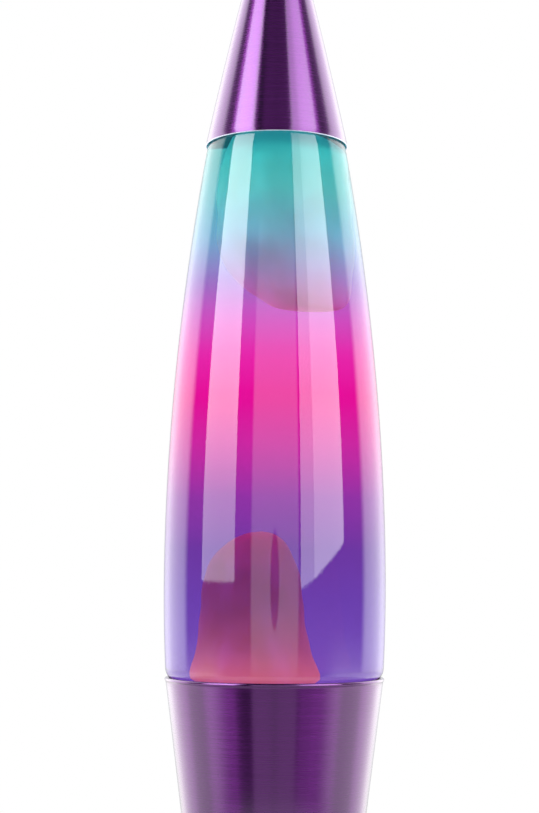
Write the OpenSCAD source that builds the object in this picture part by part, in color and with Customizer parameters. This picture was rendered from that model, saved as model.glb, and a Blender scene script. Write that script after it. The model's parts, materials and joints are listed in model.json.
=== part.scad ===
// Lava lamp: an hourglass base of spun aluminium, a tapered glass globe of liquid and wax,
// and a conical cap. Millimetres, +Z up, with the origin on the desk under the lamp's centre.

/* [Base] */
// Height of the base from the desk to its rim
base_h = 127; // [105:0.5:155]
// Outer radius of the base at its rim
base_rim_r = 36.3; // [32:0.1:44]
// Radius at which the two cones of the base would meet
waist_r = 26.8; // [24:0.1:33]
// Height of the waist above the desk
waist_z = 50; // [40:0.5:62]
// Height over which each cone of the base rounds into the other
waist_blend = 9; // [4:0.5:14]
// Outer radius of the base at the desk
foot_r = 44.5; // [38:0.5:54]
// Thickness of the spun base, measured level
base_wall = 0.8; // [0.6:0.05:1.2]
// Radius of the rolled bead along the rim
rim_bead_r = 0.65; // [0.5:0.05:0.9]
// Radius of the rolled bead along the lower edge
foot_bead_r = 0.9; // [0.7:0.05:1.2]

/* [Globe] */
// Height of globe that shows between the base and the cap
globe_show_h = 177; // [150:1:212]
// How much wider the globe is at its belly than where it enters the base
belly_swell = 0.6; // [0.2:0.1:3]
// Height of the belly above the base rim
belly_rise = 29; // [20:1:40]
// How quickly the globe draws in above the belly: 1 is a cone, 2 a parabola
taper_power = 1.93; // [1.4:0.01:2.4]
// Thickness of the glass
glass_wall = 2.5; // [2:0.1:3]
// Height above the base rim where the heel of the globe starts
heel_rise = 3; // [2:0.1:4]
// Slope of the heel's cone from upright, in degrees
heel_angle = 43; // [38:1:48]
// Height of the punt pressed up into the bottom of the globe
punt_h = 4; // [2:0.5:6]
// Radius of the bottle neck
neck_r = 11.5; // [10:0.1:12.5]
// Radius of the lip that the crown cap grips
lip_r = 13.3; // [12.5:0.1:13.6]
// Height of the liquid above the cap's rim
fill_rise = 5; // [2:0.5:7]

/* [Wax] */
// Height of the mound of wax above the base rim
mound_rise = 48; // [35:1:60]
// Radius of the mound's column
mound_r = 12.6; // [9:0.1:14]
// How far the mound's foot stops inside the middle of the coil
mound_foot_in = 4.4; // [3:0.1:6.5]
// How far the mound stands to the left of the centre
mound_shift = 5; // [0:0.5:7]
// Radius of the risen blob of wax
blob_r = 17; // [10:0.5:18]
// Height of the risen blob
blob_h = 59; // [40:1:62]
// How far the blob floats to the right of the centre
blob_shift = 2; // [0:0.5:3]
// Depth of the blob's top below the surface of the liquid
blob_depth = 2.5; // [2:0.5:8]
// Number of turns in the wire coil that lies round the bottom of the globe
coil_turns = 30; // [16:1:40]
// Radius of the coil's wire
coil_wire_r = 0.55; // [0.4:0.05:0.7]

/* [Cap] */
// Height of the cap
cap_h = 64; // [52:1:78]
// Outer radius of the cap at its rim
cap_rim_r = 23.8; // [23:0.1:28]
// Outer radius of the cap at its flat top
cap_top_r = 8.4; // [6:0.1:11]
// How far the cap's side bows out from a straight cone
cap_bow = 0.35; // [0:0.05:1]
// Thickness of the spun cap, measured level
cap_wall = 0.7; // [0.5:0.05:1]
// Radius of the cap's rounded top edge
cap_edge_r = 1.6; // [0.8:0.1:3]

/* [Bulb and socket] */
// Overall length of the bulb
bulb_len = 58.7; // [54:0.1:62]
// Largest radius of the bulb
bulb_r = 17.5; // [14:0.1:18]
// Radius of the bulb's screw shell
screw_r = 8.3; // [8:0.05:8.5]
// Rise of the bulb in one turn of its thread
thread_pitch = 2.82; // [2.5:0.01:3.6]
// Turns that the bulb takes to unscrew
thread_turns = 3; // [2:0.5:4]
// Radius of the socket's body
socket_r = 13; // [12:0.1:14]
// Radius of the hollow threaded pipe that ties the socket to the bottom cover
pipe_r = 4.85; // [4.5:0.05:5]

/* [Bottom] */
// Height of the rubber feet
foot_pad_h = 3; // [2.5:0.1:5]
// Radius of each rubber foot
foot_pad_r = 5; // [3:0.1:6]
// Thickness of the bottom cover
cover_t = 1.6; // [1:0.1:2.5]
// Radius of the cord's hole through its grommet
cord_hole_r = 2.9; // [2.5:0.1:3.4]
// Height of the cord's hole above the desk
cord_hole_z = 16; // [14:0.5:20]

/* [Hidden] */

round_fn = 64;      // circles of turned pieces
small_fn = 32;      // circles of small pieces
wire_fn = 16;       // circles of wires
hex_fn = 6;         // nuts
eps = 0.01;         // overlap of cutting shapes
fit_gap = 0.1;      // gap between pieces of one body that fit together
seat_gap = 0.05;    // gap where one moving piece rests on another
thread_gap = 0.08;  // running gap between the bulb's screw shell and the socket's

// ---- Shared shapes ----

// Points of an arc about centre c, from angle a0 to angle a1
function arc(c, r, a0, a1, steps) =
    [for (i = [0:steps]) let (a = a0 + (a1 - a0) * i / steps) c + r * [cos(a), sin(a)]];

function reversed(list) = [for (i = [len(list) - 1:-1:0]) list[i]];

// Smooth run from r0, with slope m0, to r1, with slope 0, over the height h; u goes from 0 to 1
function blend_r(r0, m0, r1, h, u) =
    r1 + (r0 - r1) * (1 - 3 * u * u + 2 * u * u * u) + m0 * h * u * (1 - u) * (1 - u);
function blend_slope(r0, m0, r1, h, u) =
    (r0 - r1) * (6 * u * u - 6 * u) / h + m0 * (1 - 4 * u + 3 * u * u);

// The point of an outline at radius r and height z, moved in by t square to its slope dr/dz
function moved_in(r, z, slope, t) =
    let (k = sqrt(1 + slope * slope)) [r - t / k, z + t * slope / k];

function unit(v) = v / norm(v);

// Points of a cubic curve with ends p0 and p3, and p1 and p2 to bend it
function bezier(p0, p1, p2, p3, steps) =
    [for (i = [0:steps]) let (u = i / steps, w = 1 - u)
        w * w * w * p0 + 3 * w * w * u * p1 + 3 * w * u * u * p2 + u * u * u * p3];

// A round wire along a path; sides[i] is a direction across the path at point i
module wire(path, sides, r, n, closed = false) {
    count = len(path);
    rings = [for (i = [0:count - 1])
        let (
            before = closed ? path[(i + count - 1) % count] : path[max(i - 1, 0)],
            after = closed ? path[(i + 1) % count] : path[min(i + 1, count - 1)],
            along = unit(after - before),
            u = unit(cross(along, sides[i])),
            v = cross(along, u)
        )
        for (k = [0:n - 1]) path[i] + r * (cos(360 * k / n) * u + sin(360 * k / n) * v)];
    spans = closed ? count : count - 1;
    walls = [for (i = [0:spans - 1], k = [0:n - 1], half = [0, 1])
        let (
            j = (i + 1) % count,
            m = (k + 1) % n
        )
        half == 0 ? [i * n + k, j * n + k, j * n + m] : [i * n + k, j * n + m, i * n + m]];
    ends = closed ? [] : [
        [for (k = [0:n - 1]) k],
        [for (k = [n - 1:-1:0]) (count - 1) * n + k]
    ];
    polyhedron(points = rings, faces = concat(walls, ends), convexity = 8);
}

// ---- Base ----

base_bottom = 1;                        // the lower edge stands this far above the desk
upper_slope = (base_rim_r - waist_r) / (base_h - waist_z);
lower_slope = (waist_r - foot_r) / (waist_z - base_bottom);
wall_angle = atan(-lower_slope);        // lean of the lower cone from upright

// Outer radius of the base at height z
function base_r(z) =
    let (d = z - waist_z)
    abs(d) < waist_blend
        ? waist_r + (upper_slope + lower_slope) / 2 * d
            + (upper_slope - lower_slope) / (4 * waist_blend) * (d * d + waist_blend * waist_blend)
        : waist_r + (d > 0 ? upper_slope : lower_slope) * d;

function base_inner_r(z) = base_r(z) - base_wall;

waist_steps = 12;
base_heights = concat(
    [base_bottom],
    [for (i = [0:waist_steps]) waist_z + waist_blend * (2 * i / waist_steps - 1)],
    [base_h - rim_bead_r]
);

// The hollow of the base, drawn in by a gap from its wall
module base_hollow(gap) {
    rotate_extrude($fn = round_fn)
        polygon(concat(
            [[0, base_bottom]],
            [for (z = base_heights) [base_inner_r(z) - gap, z]],
            [[0, base_h - rim_bead_r]]
        ));
}

grommet_wall = 1.6;
grommet_lip = 2;                        // reach of the flange past the barrel
grommet_r = cord_hole_r + grommet_wall; // barrel of the cord's grommet
grommet_flange_r = grommet_r + grommet_lip;
grommet_flange_t = 1.6;                 // thickness of each flange
grommet_bite = 0.6;                     // reach of each flange into the curved wall, which cuts it
grommet_squeeze = 0.05;                 // gap between the flanges and the wall
grommet_in = 5;                         // reach of the grommet inside the wall
grommet_out = 3;                        // reach of the grommet outside the wall

// Places its children on the rear of the lower cone, with +Z square to the wall
module at_cord_hole() {
    translate([0, base_r(cord_hole_z), cord_hole_z])
        rotate([wall_angle - 90, 0, 0])
            children();
}

// The wall of the base, thickened by a gap on both sides, with its cord hole
module base_wall_ring(gap) {
    difference() {
        rotate_extrude($fn = round_fn)
            polygon(concat(
                [for (z = base_heights) [base_r(z) + gap, z]],
                reversed([for (z = base_heights) [base_inner_r(z) - gap, z]])
            ));
        at_cord_hole()
            translate([0, 0, -grommet_in])
                cylinder(r = grommet_r + fit_gap - gap, h = 2 * grommet_in, $fn = small_fn);
    }
}

module bead(r, centre_r, centre_z) {
    rotate_extrude($fn = round_fn)
        translate([centre_r, centre_z])
            circle(r, $fn = small_fn);
}

rim_bead_in = 0.45;                     // the rim's bead stands this far inside the wall's line
rim_bead_centre_r = base_rim_r - rim_bead_in;
foot_bead_centre_r = foot_r - foot_bead_r;

module base_shell() {
    color("purple") {
        base_wall_ring(0);
        bead(rim_bead_r, rim_bead_centre_r, base_h - rim_bead_r);
        bead(foot_bead_r, foot_bead_centre_r, base_bottom + foot_bead_r - eps);
    }
}

// ---- Globe ----

cap_rim_z = base_h + globe_show_h;
heel_r = base_rim_r;                    // the globe is as wide as the rim where its heel starts
heel_z = base_h + heel_rise;
belly_r = heel_r + belly_swell;
belly_z = base_h + belly_rise;
shoulder_drop = 0.3;                    // the shoulder starts this far under the cap's rim
globe_top_z = cap_rim_z - shoulder_drop;
cap_seat_gap = 0.05;                    // gap between the cap's rim and the glass there
globe_top_r = cap_rim_r - cap_wall - cap_seat_gap;

// Outer radius of the globe at height z, and its slope, between heel and shoulder
function globe_r(z) =
    z < belly_z
        ? belly_r - belly_swell * pow((belly_z - z) / (belly_z - heel_z), 2)
        : belly_r - (belly_r - globe_top_r)
            * pow((z - belly_z) / (globe_top_z - belly_z), taper_power);
function globe_slope(z) =
    z < belly_z
        ? 2 * belly_swell * (belly_z - z) / pow(belly_z - heel_z, 2)
        : -(belly_r - globe_top_r) * taper_power / (globe_top_z - belly_z)
            * pow((z - belly_z) / (globe_top_z - belly_z), taper_power - 1);

// The heel turns in by a tight arc, runs down a cone and turns under by a wider arc
heel_arc_r = 5;
heel_cone_l = 9.8;
under_arc_r = 9;
heel_start_angle = atan(globe_slope(heel_z));
function out_from(angle) = [cos(angle), -sin(angle)];
heel_centre = [heel_r, heel_z] - heel_arc_r * out_from(heel_start_angle);
cone_top = heel_centre + heel_arc_r * out_from(heel_angle);
cone_bottom = cone_top - heel_cone_l * [sin(heel_angle), cos(heel_angle)];
under_centre = cone_bottom - under_arc_r * out_from(heel_angle);
ring_r = under_centre[0];               // the globe stands on a ring of this radius
globe_bottom_z = under_centre[1] - under_arc_r;
ring_half_w = 2.5;                      // half the width of the ring that the globe stands on
punt_r = ring_r - ring_half_w;

// The crown cap sits as high as the cone of the cap leaves room for
crown_t = 0.3;
crown_h = 6;
crown_flare = 2.5;                      // reach of the crown's skirt past the lip
crown_shoulder_h = 1.2;
crown_grip_h = 2;                       // height of lip inside the crown
crown_r = lip_r + crown_flare;
crown_room = 0.8;                       // gap between crown and cap
liner_t = 0.7;
liner_in = 0.3;                         // the liner stops short of the lip's edge
crown_top_z = cap_rim_z + (cap_rim_r - cap_wall - crown_r - crown_room)
    * cap_h / (cap_rim_r - cap_top_r);
lip_z = crown_top_z - crown_t - liner_t;
finish_h = 5;                           // the lip and the bead under it
finish_edge_r = 1.4;
neck_straight = 2;
shoulder_top_z = lip_z - finish_h - neck_straight;
shoulder_h = shoulder_top_z - globe_top_z;

body_steps = 24;
belly_steps = 4;
shoulder_steps = 10;
heel_steps = 8;
punt_steps = 6;

// Outline of the globe from its centre under the punt up to the neck, drawn in by t
function globe_outline(t) = concat(
    [for (i = [0:punt_steps]) let (r = punt_r * i / punt_steps)
        [r, globe_bottom_z + t + punt_h * (1 - pow(r / punt_r, 2))]],
    arc(under_centre, under_arc_r - t, -90, -heel_angle, heel_steps),
    arc(heel_centre, heel_arc_r - t, -heel_angle, -heel_start_angle, heel_steps),
    [for (i = [1:belly_steps]) let (z = heel_z + (belly_z - heel_z) * i / belly_steps)
        moved_in(globe_r(z), z, globe_slope(z), t)],
    [for (i = [1:body_steps]) let (z = belly_z + (globe_top_z - belly_z) * i / body_steps)
        moved_in(globe_r(z), z, globe_slope(z), t)],
    [for (i = [1:shoulder_steps]) let (u = i / shoulder_steps, m = globe_slope(globe_top_z))
        moved_in(
            blend_r(globe_top_r, m, neck_r, shoulder_h, u),
            globe_top_z + shoulder_h * u,
            blend_slope(globe_top_r, m, neck_r, shoulder_h, u),
            t
        )]
);

// The liquid's space inside the glass, drawn in by a further gap
module globe_hollow(gap) {
    rotate_extrude($fn = round_fn)
        polygon(concat(
            globe_outline(glass_wall + gap),
            [[0, shoulder_top_z]]
        ));
}

module globe_bottle() {
    color("orchid", 0.5)
        rotate_extrude($fn = round_fn)
            polygon(concat(
                globe_outline(0),
                [
                    [neck_r, lip_z - finish_h],
                    [lip_r, lip_z - finish_h + 1],
                    [lip_r, lip_z - finish_edge_r]
                ],
                arc([lip_r - finish_edge_r, lip_z - finish_edge_r], finish_edge_r, 0, 90, 5),
                [[neck_r - glass_wall, lip_z]],
                reversed(globe_outline(glass_wall))
            ));
}

module crown_liner() {
    color("white")
        translate([0, 0, lip_z])
            cylinder(r = lip_r - liner_in, h = liner_t, $fn = round_fn);
}

crown_flutes = 21;
flute_depth = 0.55;
flute_points = 8;
crown_skirt_t = 0.35;

// Outline of the fluted skirt at a mean radius r
function fluted(r) =
    [for (i = [0:crown_flutes * flute_points - 1]) let (a = 360 * i / (crown_flutes * flute_points))
        (r + flute_depth * cos(crown_flutes * a)) * [cos(a), sin(a)]];

module crown_cap() {
    color("gold")
        difference() {
            union() {
                translate([0, 0, crown_top_z - crown_h])
                    linear_extrude(crown_h - crown_shoulder_h)
                        polygon(fluted(crown_r - flute_depth));
                translate([0, 0, crown_top_z - crown_shoulder_h - eps])
                    cylinder(
                        r1 = crown_r - 2 * flute_depth,
                        r2 = lip_r,
                        h = crown_shoulder_h + eps,
                        $fn = round_fn
                    );
            }
            translate([0, 0, crown_top_z - crown_h - eps])
                cylinder(
                    r = crown_r - 2 * flute_depth - crown_skirt_t,
                    h = crown_h - crown_shoulder_h - crown_t,
                    $fn = round_fn
                );
            translate([0, 0, crown_top_z - crown_grip_h])
                cylinder(r = lip_r + fit_gap, h = crown_grip_h - crown_t, $fn = round_fn);
        }
}

// ---- Coil, wax and liquid ----

floor_z = globe_bottom_z + glass_wall;
coil_room = 0.1;                        // gap round the coil's outline
coil_inset = 3.25;                      // the coil's turns are this much tighter than the glass under them
coil_r = under_arc_r - glass_wall - coil_inset;
coil_z = floor_z + coil_r + coil_room;
coil_steps = 8;                         // points in each turn
coil_wire_sides = 5;

// The closed ring that the coil lies in
module coil_envelope() {
    rotate_extrude($fn = round_fn)
        translate([ring_r, coil_z])
            circle(coil_r + coil_room / 2, $fn = small_fn);
}

// The space round the lower half of the coil, which the wax doesn't reach
module coil_corner() {
    difference() {
        cylinder(r = heel_r, h = coil_z, $fn = round_fn);
        translate([0, 0, -eps])
            cylinder(r = ring_r, h = coil_z + 2 * eps, $fn = round_fn);
    }
}

module heat_coil() {
    count = coil_turns * coil_steps;
    turn_r = coil_r - coil_wire_r;
    path = [for (i = [0:count - 1])
        let (
            a = 360 * i / count,
            b = 360 * i / coil_steps
        )
        [
            (ring_r + turn_r * cos(b)) * cos(a),
            (ring_r + turn_r * cos(b)) * sin(a),
            coil_z + turn_r * sin(b)
        ]];
    sides = [for (i = [0:count - 1]) let (a = 360 * i / count) [-sin(a), cos(a), 0]];
    color("silver")
        wire(path, sides, coil_wire_r, coil_wire_sides, closed = true);
}

mound_h = base_h + mound_rise - floor_z;
mound_foot_r = ring_r - mound_foot_in;
mound_dome_h = 1.45 * mound_r;          // the rounded top of the mound
wax_gap = 0.05;
wax_steps = 10;

// Outline of the mound: a foot that flares on to the bottom, and a domed column
function mound_outline(gap) =
    let (flank_h = mound_h - mound_dome_h)
    concat(
        [[0, 0]],
        [for (i = [0:wax_steps]) let (u = i / wax_steps)
            [gap + mound_r + (mound_foot_r - mound_r) * (1 - u) * (1 - u), flank_h * u]],
        [for (i = [1:wax_steps]) let (a = 90 * i / wax_steps)
            [(mound_r + gap) * cos(a), flank_h + (mound_dome_h + gap) * sin(a)]]
    );

module mound_solid(gap) {
    translate([-mound_shift, 0, floor_z])
        rotate_extrude($fn = round_fn)
            polygon(mound_outline(gap));
}

module wax_mound() {
    color("mistyrose")
        difference() {
            intersection() {
                mound_solid(0);
                globe_hollow(wax_gap);
            }
            coil_envelope();
            coil_corner();
        }
}

fill_z = cap_rim_z + fill_rise;
blob_top_z = fill_z - blob_depth;
blob_power = 3.2;                       // 2 would make the blob an ellipse; more squares it up
blob_steps = 24;

module blob_solid(gap) {
    translate([blob_shift, 0, blob_top_z - blob_h / 2])
        rotate_extrude($fn = round_fn)
            polygon([for (i = [0:blob_steps]) let (a = 180 * i / blob_steps - 90)
                [
                    (blob_r + gap) * pow(cos(a), 2 / blob_power),
                    (blob_h / 2 + gap) * sign(a) * pow(abs(sin(a)), 2 / blob_power)
                ]]);
}

module wax_blob() {
    color("mistyrose")
        blob_solid(0);
}

blob_gap = 0.3;

module fluid() {
    color("violet", 0.3)
        difference() {
            intersection() {
                globe_hollow(0);
                cylinder(r = 2 * belly_r, h = fill_z, $fn = round_fn);
            }
            mound_solid(wax_gap);
            coil_envelope();
            blob_solid(blob_gap);
        }
}

// ---- Cap ----

// Outer radius of the cap at height h above its rim
function cap_r(h) =
    cap_rim_r - (cap_rim_r - cap_top_r) * h / cap_h
        + 4 * cap_bow * h / cap_h * (1 - h / cap_h);

cap_steps = 14;

module cap_shell() {
    side_h = cap_h - cap_edge_r;
    edge_centre_r = cap_r(side_h) - cap_edge_r;
    inner_h = cap_h - cap_edge_r - cap_wall;
    color("purple")
        translate([0, 0, cap_rim_z])
            rotate_extrude($fn = round_fn)
                polygon(concat(
                    [for (i = [0:cap_steps]) let (h = side_h * i / cap_steps) [cap_r(h), h]],
                    arc([edge_centre_r, side_h], cap_edge_r, 10, 90, 5),
                    [[0, cap_h], [0, cap_h - cap_wall], [edge_centre_r, cap_h - cap_wall]],
                    [for (i = [cap_steps:-1:0]) let (h = inner_h * i / cap_steps)
                        [cap_r(h) - cap_wall, h]]
                ));
}

// ---- Bulb ----

// The bulb's top stays this far below the seated globe when the bulb is unscrewed
bulb_clearance = 0.8;
tip_z = globe_bottom_z - bulb_clearance - thread_pitch * thread_turns - bulb_len;

contact_h = 1.2;
contact_r = 2.9;
contact_edge_r = 0.8;
insulator_h = 2.1;
screw_shell_t = 0.35;
screw_edge = 0.6;                       // bevel round the shell's bottom
screw_lip_in = 1;                       // the shell's bottom lip stops this far outside the contact
screw_bottom_z = tip_z + contact_h + insulator_h;
screw_shell_h = 12.7;
screw_top_z = screw_bottom_z + screw_shell_h;
neck_room = 0.9;                        // the glass neck is this much slimmer than the screw shell
bulb_neck_r = screw_r - neck_room;
bulb_glass_t = 0.6;
bulb_neck_in = 1.8;                     // reach of the glass neck inside the screw shell
bulb_neck_bottom_z = screw_top_z - bulb_neck_in;
dome_z = tip_z + bulb_len - bulb_r;     // centre of the bulb's round top
bulb_steps = 10;

module bulb_contact() {
    color("silver")
        translate([0, 0, tip_z])
            rotate_extrude($fn = small_fn)
                polygon(concat(
                    [[0, 0]],
                    arc([contact_r - contact_edge_r, contact_edge_r], contact_edge_r, -90, 0, 4),
                    [[contact_r, contact_h - seat_gap], [0, contact_h - seat_gap]]
                ));
}

module bulb_insulator() {
    color("black")
        translate([0, 0, tip_z + contact_h])
            cylinder(
                r1 = contact_r + 0.5,
                r2 = screw_r - screw_edge,
                h = insulator_h - fit_gap,
                $fn = round_fn
            );
}

module bulb_screw_shell() {
    color("goldenrod")
        rotate_extrude($fn = round_fn)
            polygon([
                [contact_r + screw_lip_in, screw_bottom_z],
                [screw_r - screw_edge, screw_bottom_z],
                [screw_r, screw_bottom_z + screw_edge],
                [screw_r, screw_top_z],
                [screw_r - screw_shell_t, screw_top_z],
                [screw_r - screw_shell_t, screw_bottom_z + screw_edge + screw_shell_t],
                [screw_r - 1.5 * screw_edge, screw_bottom_z + screw_shell_t],
                [contact_r + screw_lip_in, screw_bottom_z + screw_shell_t]
            ]);
}

// Outline of the bulb from its neck to its top, drawn in by t
function bulb_outline(t) = concat(
    [[bulb_neck_r - t, bulb_neck_bottom_z]],
    [for (i = [0:bulb_steps]) let (u = i / bulb_steps, h = dome_z - screw_top_z)
        moved_in(
            blend_r(bulb_neck_r, 0, bulb_r, h, u),
            screw_top_z + h * u,
            blend_slope(bulb_neck_r, 0, bulb_r, h, u),
            t
        )],
    [for (i = [1:bulb_steps]) let (a = 90 * i / bulb_steps)
        [(bulb_r - t) * cos(a), dome_z + (bulb_r - t) * sin(a)]]
);

module bulb_glass() {
    color("white", 0.4)
        rotate_extrude($fn = round_fn)
            polygon(concat(bulb_outline(0), reversed(bulb_outline(bulb_glass_t))));
}

stem_r = bulb_neck_r - bulb_glass_t - fit_gap;
stem_rod_r = 1.8;
stem_base_t = 0.8;
stem_flare_r = 2;                       // reach of the stem's cone past its rod
stem_cone_top_z = bulb_neck_bottom_z + 6;
stem_h = 13;
stem_top_z = bulb_neck_bottom_z + stem_h;
stem_flare_h = 2;

module bulb_stem() {
    color("white", 0.5)
        rotate_extrude($fn = small_fn)
            polygon([
                [0, bulb_neck_bottom_z],
                [stem_r, bulb_neck_bottom_z],
                [stem_r, bulb_neck_bottom_z + stem_base_t],
                [stem_rod_r + stem_flare_r, bulb_neck_bottom_z + stem_flare_h],
                [stem_rod_r, stem_cone_top_z],
                [stem_rod_r, stem_top_z],
                [0, stem_top_z]
            ]);
}

filament_r = 7.5;
filament_wire_r = 0.24;
filament_drop = 6.2;                    // depth of the filament below the widest part of the glass
filament_z = dome_z - filament_drop;
lead_wire_r = 0.3;
wire_offset = 1.4;                      // gap between the stem's rod and the foot of each wire
wire_end_gap = 0.5;                     // gap between each wire and the filament

module bulb_lead_wires() {
    start_r = stem_rod_r + wire_offset;
    cone_slope = (stem_cone_top_z - bulb_neck_bottom_z - stem_flare_h) / stem_flare_r;
    start_z = stem_cone_top_z - cone_slope * (wire_offset - lead_wire_r) + fit_gap;
    rise = filament_z - start_z;
    lean = atan((filament_r - start_r) / rise);
    color("silver")
        for (side = [-1, 1])
            translate([side * start_r, 0, filament_z - rise])
                rotate([0, side * lean, 0])
                    cylinder(r = lead_wire_r, h = rise / cos(lean) - wire_end_gap, $fn = wire_fn);
}

module bulb_filament() {
    color("gold")
        translate([0, 0, filament_z])
            rotate([90, 0, 0])
                rotate_extrude(angle = 180, $fn = small_fn)
                    translate([filament_r, 0])
                        circle(filament_wire_r, $fn = wire_fn);
}

// ---- Socket ----

socket_floor_t = 5.4;
contact_room = 3;                       // space for the contact strip under the bulb's tip
socket_floor_z = tip_z - contact_room;
socket_bottom_z = socket_floor_z - socket_floor_t;
socket_drop = 2.4;                      // the socket's rim stands this far below the bulb's screw shell
socket_top_z = screw_top_z - socket_drop;
shell_in_r = screw_r + thread_gap;
shell_t = 0.45;
shell_lift = 0.5;                       // height of the socket shell's bottom above the bulb's tip
shell_bottom_z = tip_z + shell_lift;
shell_drop = 1;                         // the socket shell stops this far below the socket's rim
shell_hole_r = 5.5;
socket_bore_r = shell_in_r + shell_t + fit_gap;
pipe_reach = 3;                         // depth of the pipe in the socket's floor
terminal_z = (socket_bottom_z + socket_floor_z) / 2;
terminal_shank_r = 1.4;
terminal_head_r = 2.7;
terminal_head_t = 1.6;
terminal_shank_l = 6;
terminal_end_gap = 0.5;                 // gap between each screw's end and the bottom of its hole
terminal_slot_w = 0.6;
terminal_slot_d = 0.7;

module socket_body() {
    color("ivory")
        difference() {
            translate([0, 0, socket_bottom_z])
                cylinder(r = socket_r, h = socket_top_z - socket_bottom_z, $fn = round_fn);
            translate([0, 0, socket_floor_z])
                cylinder(r = socket_bore_r, h = socket_top_z - socket_floor_z + eps, $fn = round_fn);
            translate([0, 0, socket_bottom_z - eps])
                cylinder(r = pipe_r + fit_gap, h = pipe_reach + fit_gap + eps, $fn = round_fn);
            for (side = [-1, 1])
                translate([side * (socket_r - terminal_shank_l), 0, terminal_z])
                    rotate([0, side * 90, 0])
                        cylinder(r = terminal_shank_r + fit_gap, h = terminal_shank_l + 1, $fn = small_fn);
        }
}

module socket_shell() {
    shell_h = socket_top_z - shell_drop - shell_bottom_z;
    color("goldenrod")
        difference() {
            translate([0, 0, shell_bottom_z])
                cylinder(r = shell_in_r + shell_t, h = shell_h, $fn = round_fn);
            translate([0, 0, shell_bottom_z + shell_t])
                cylinder(r = shell_in_r, h = shell_h, $fn = round_fn);
            translate([0, 0, shell_bottom_z - eps])
                cylinder(r = shell_hole_r, h = shell_t + 2 * eps, $fn = round_fn);
        }
}

contact_strip_w = 4;
contact_strip_t = 0.4;
contact_pad_l = 6;                      // length of the strip's pad under the bulb's tip
contact_foot_l = 5;                     // length of the strip's foot on the socket's floor
contact_lean = 0.8;                     // the riser's foot stands this far inside the foot's end

module socket_contact() {
    pad_top = tip_z - seat_gap;
    foot_top = socket_floor_z + contact_strip_t;
    color("goldenrod")
        translate([0, contact_strip_w / 2, 0])
            rotate([90, 0, 0])
                linear_extrude(contact_strip_w)
                    polygon([
                        [-contact_pad_l / 2, pad_top],
                        [contact_pad_l / 2, pad_top],
                        [contact_pad_l / 2, pad_top - contact_strip_t],
                        [contact_strip_t - contact_pad_l / 2, pad_top - contact_strip_t],
                        [contact_lean - contact_foot_l, foot_top],
                        [0, foot_top],
                        [0, socket_floor_z],
                        [-contact_foot_l, socket_floor_z]
                    ]);
}

module terminal_screws() {
    color("goldenrod")
        for (side = [-1, 1])
            translate([side * socket_r, 0, terminal_z])
                rotate([0, side * 90, 0])
                    difference() {
                        union() {
                            cylinder(r = terminal_head_r, h = terminal_head_t, $fn = small_fn);
                            translate([0, 0, terminal_end_gap - terminal_shank_l])
                                cylinder(r = terminal_shank_r, h = terminal_shank_l, $fn = small_fn);
                        }
                        translate([
                            -terminal_head_r,
                            -terminal_slot_w / 2,
                            terminal_head_t - terminal_slot_d
                        ])
                            cube([2 * terminal_head_r, terminal_slot_w, terminal_slot_d + eps]);
                    }
}

strap_t = 1.2;
strap_w = 18;
strap_gap = 3;                          // gap between the socket and each upright of the strap
strap_bend_y = socket_r + strap_gap;
strap_floor_z = socket_bottom_z - strap_t;
strap_rise = 9;                         // height of the strap's wings above the bulb's tip
strap_wing_z = tip_z + strap_rise;

// The strap hangs from the narrowing wall of the base and carries the socket
module socket_strap() {
    color("silver")
        difference() {
            intersection() {
                union() {
                    translate([-strap_w / 2, -strap_bend_y, strap_floor_z])
                        cube([strap_w, 2 * strap_bend_y, strap_t]);
                    for (side = [-1, 1]) {
                        translate([
                            -strap_w / 2,
                            side * (strap_bend_y - strap_t / 2) - strap_t / 2,
                            strap_floor_z
                        ])
                            cube([strap_w, strap_t, strap_wing_z - strap_floor_z + strap_t]);
                        translate([
                            -strap_w / 2,
                            side > 0 ? strap_bend_y - strap_t : -base_rim_r,
                            strap_wing_z
                        ])
                            cube([strap_w, base_rim_r - strap_bend_y + strap_t, strap_t]);
                    }
                }
                base_hollow(fit_gap);
            }
            translate([0, 0, strap_floor_z - eps])
                cylinder(r = pipe_r + fit_gap, h = strap_t + 2 * eps, $fn = round_fn);
        }
}

// ---- Bottom ----

cover_z = foot_pad_h;                   // underside of the cover
hub_r = 13;
hub_flare = 3;                          // the hub's side leans out by this much
hub_rise = 7;                           // the cover's middle is pressed up over the nut
hub_z = cover_z + hub_rise;
nut_r = 8.2;
nut_h = 3.3;
washer_r = 8;
washer_t = 0.8;
pipe_end = 1.4;                         // length of pipe that shows under its nut
pipe_wall = 1.6;
pipe_bottom_z = hub_z - washer_t - nut_h - pipe_end;
pipe_bore_r = pipe_r - pipe_wall;

module lamp_pipe() {
    color("silver")
        difference() {
            translate([0, 0, pipe_bottom_z])
                cylinder(r = pipe_r, h = socket_bottom_z + pipe_reach - pipe_bottom_z, $fn = round_fn);
            translate([0, 0, pipe_bottom_z - eps])
                cylinder(
                    r = pipe_bore_r,
                    h = socket_bottom_z - pipe_bottom_z + pipe_reach + 2 * eps,
                    $fn = round_fn
                );
        }
}

module nut(top_z) {
    color("silver")
        difference() {
            translate([0, 0, top_z - nut_h])
                cylinder(r = nut_r, h = nut_h, $fn = hex_fn);
            translate([0, 0, top_z - nut_h - eps])
                cylinder(r = pipe_r + fit_gap / 2, h = nut_h + 2 * eps, $fn = round_fn);
        }
}

module strap_nut() {
    nut(strap_floor_z);
}

module bottom_nut() {
    nut(hub_z - washer_t);
}

module bottom_washer() {
    color("silver")
        difference() {
            translate([0, 0, hub_z - washer_t])
                cylinder(r = washer_r, h = washer_t, $fn = round_fn);
            translate([0, 0, hub_z - washer_t - eps])
                cylinder(r = pipe_r + fit_gap, h = washer_t + 2 * eps, $fn = round_fn);
        }
}

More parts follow.
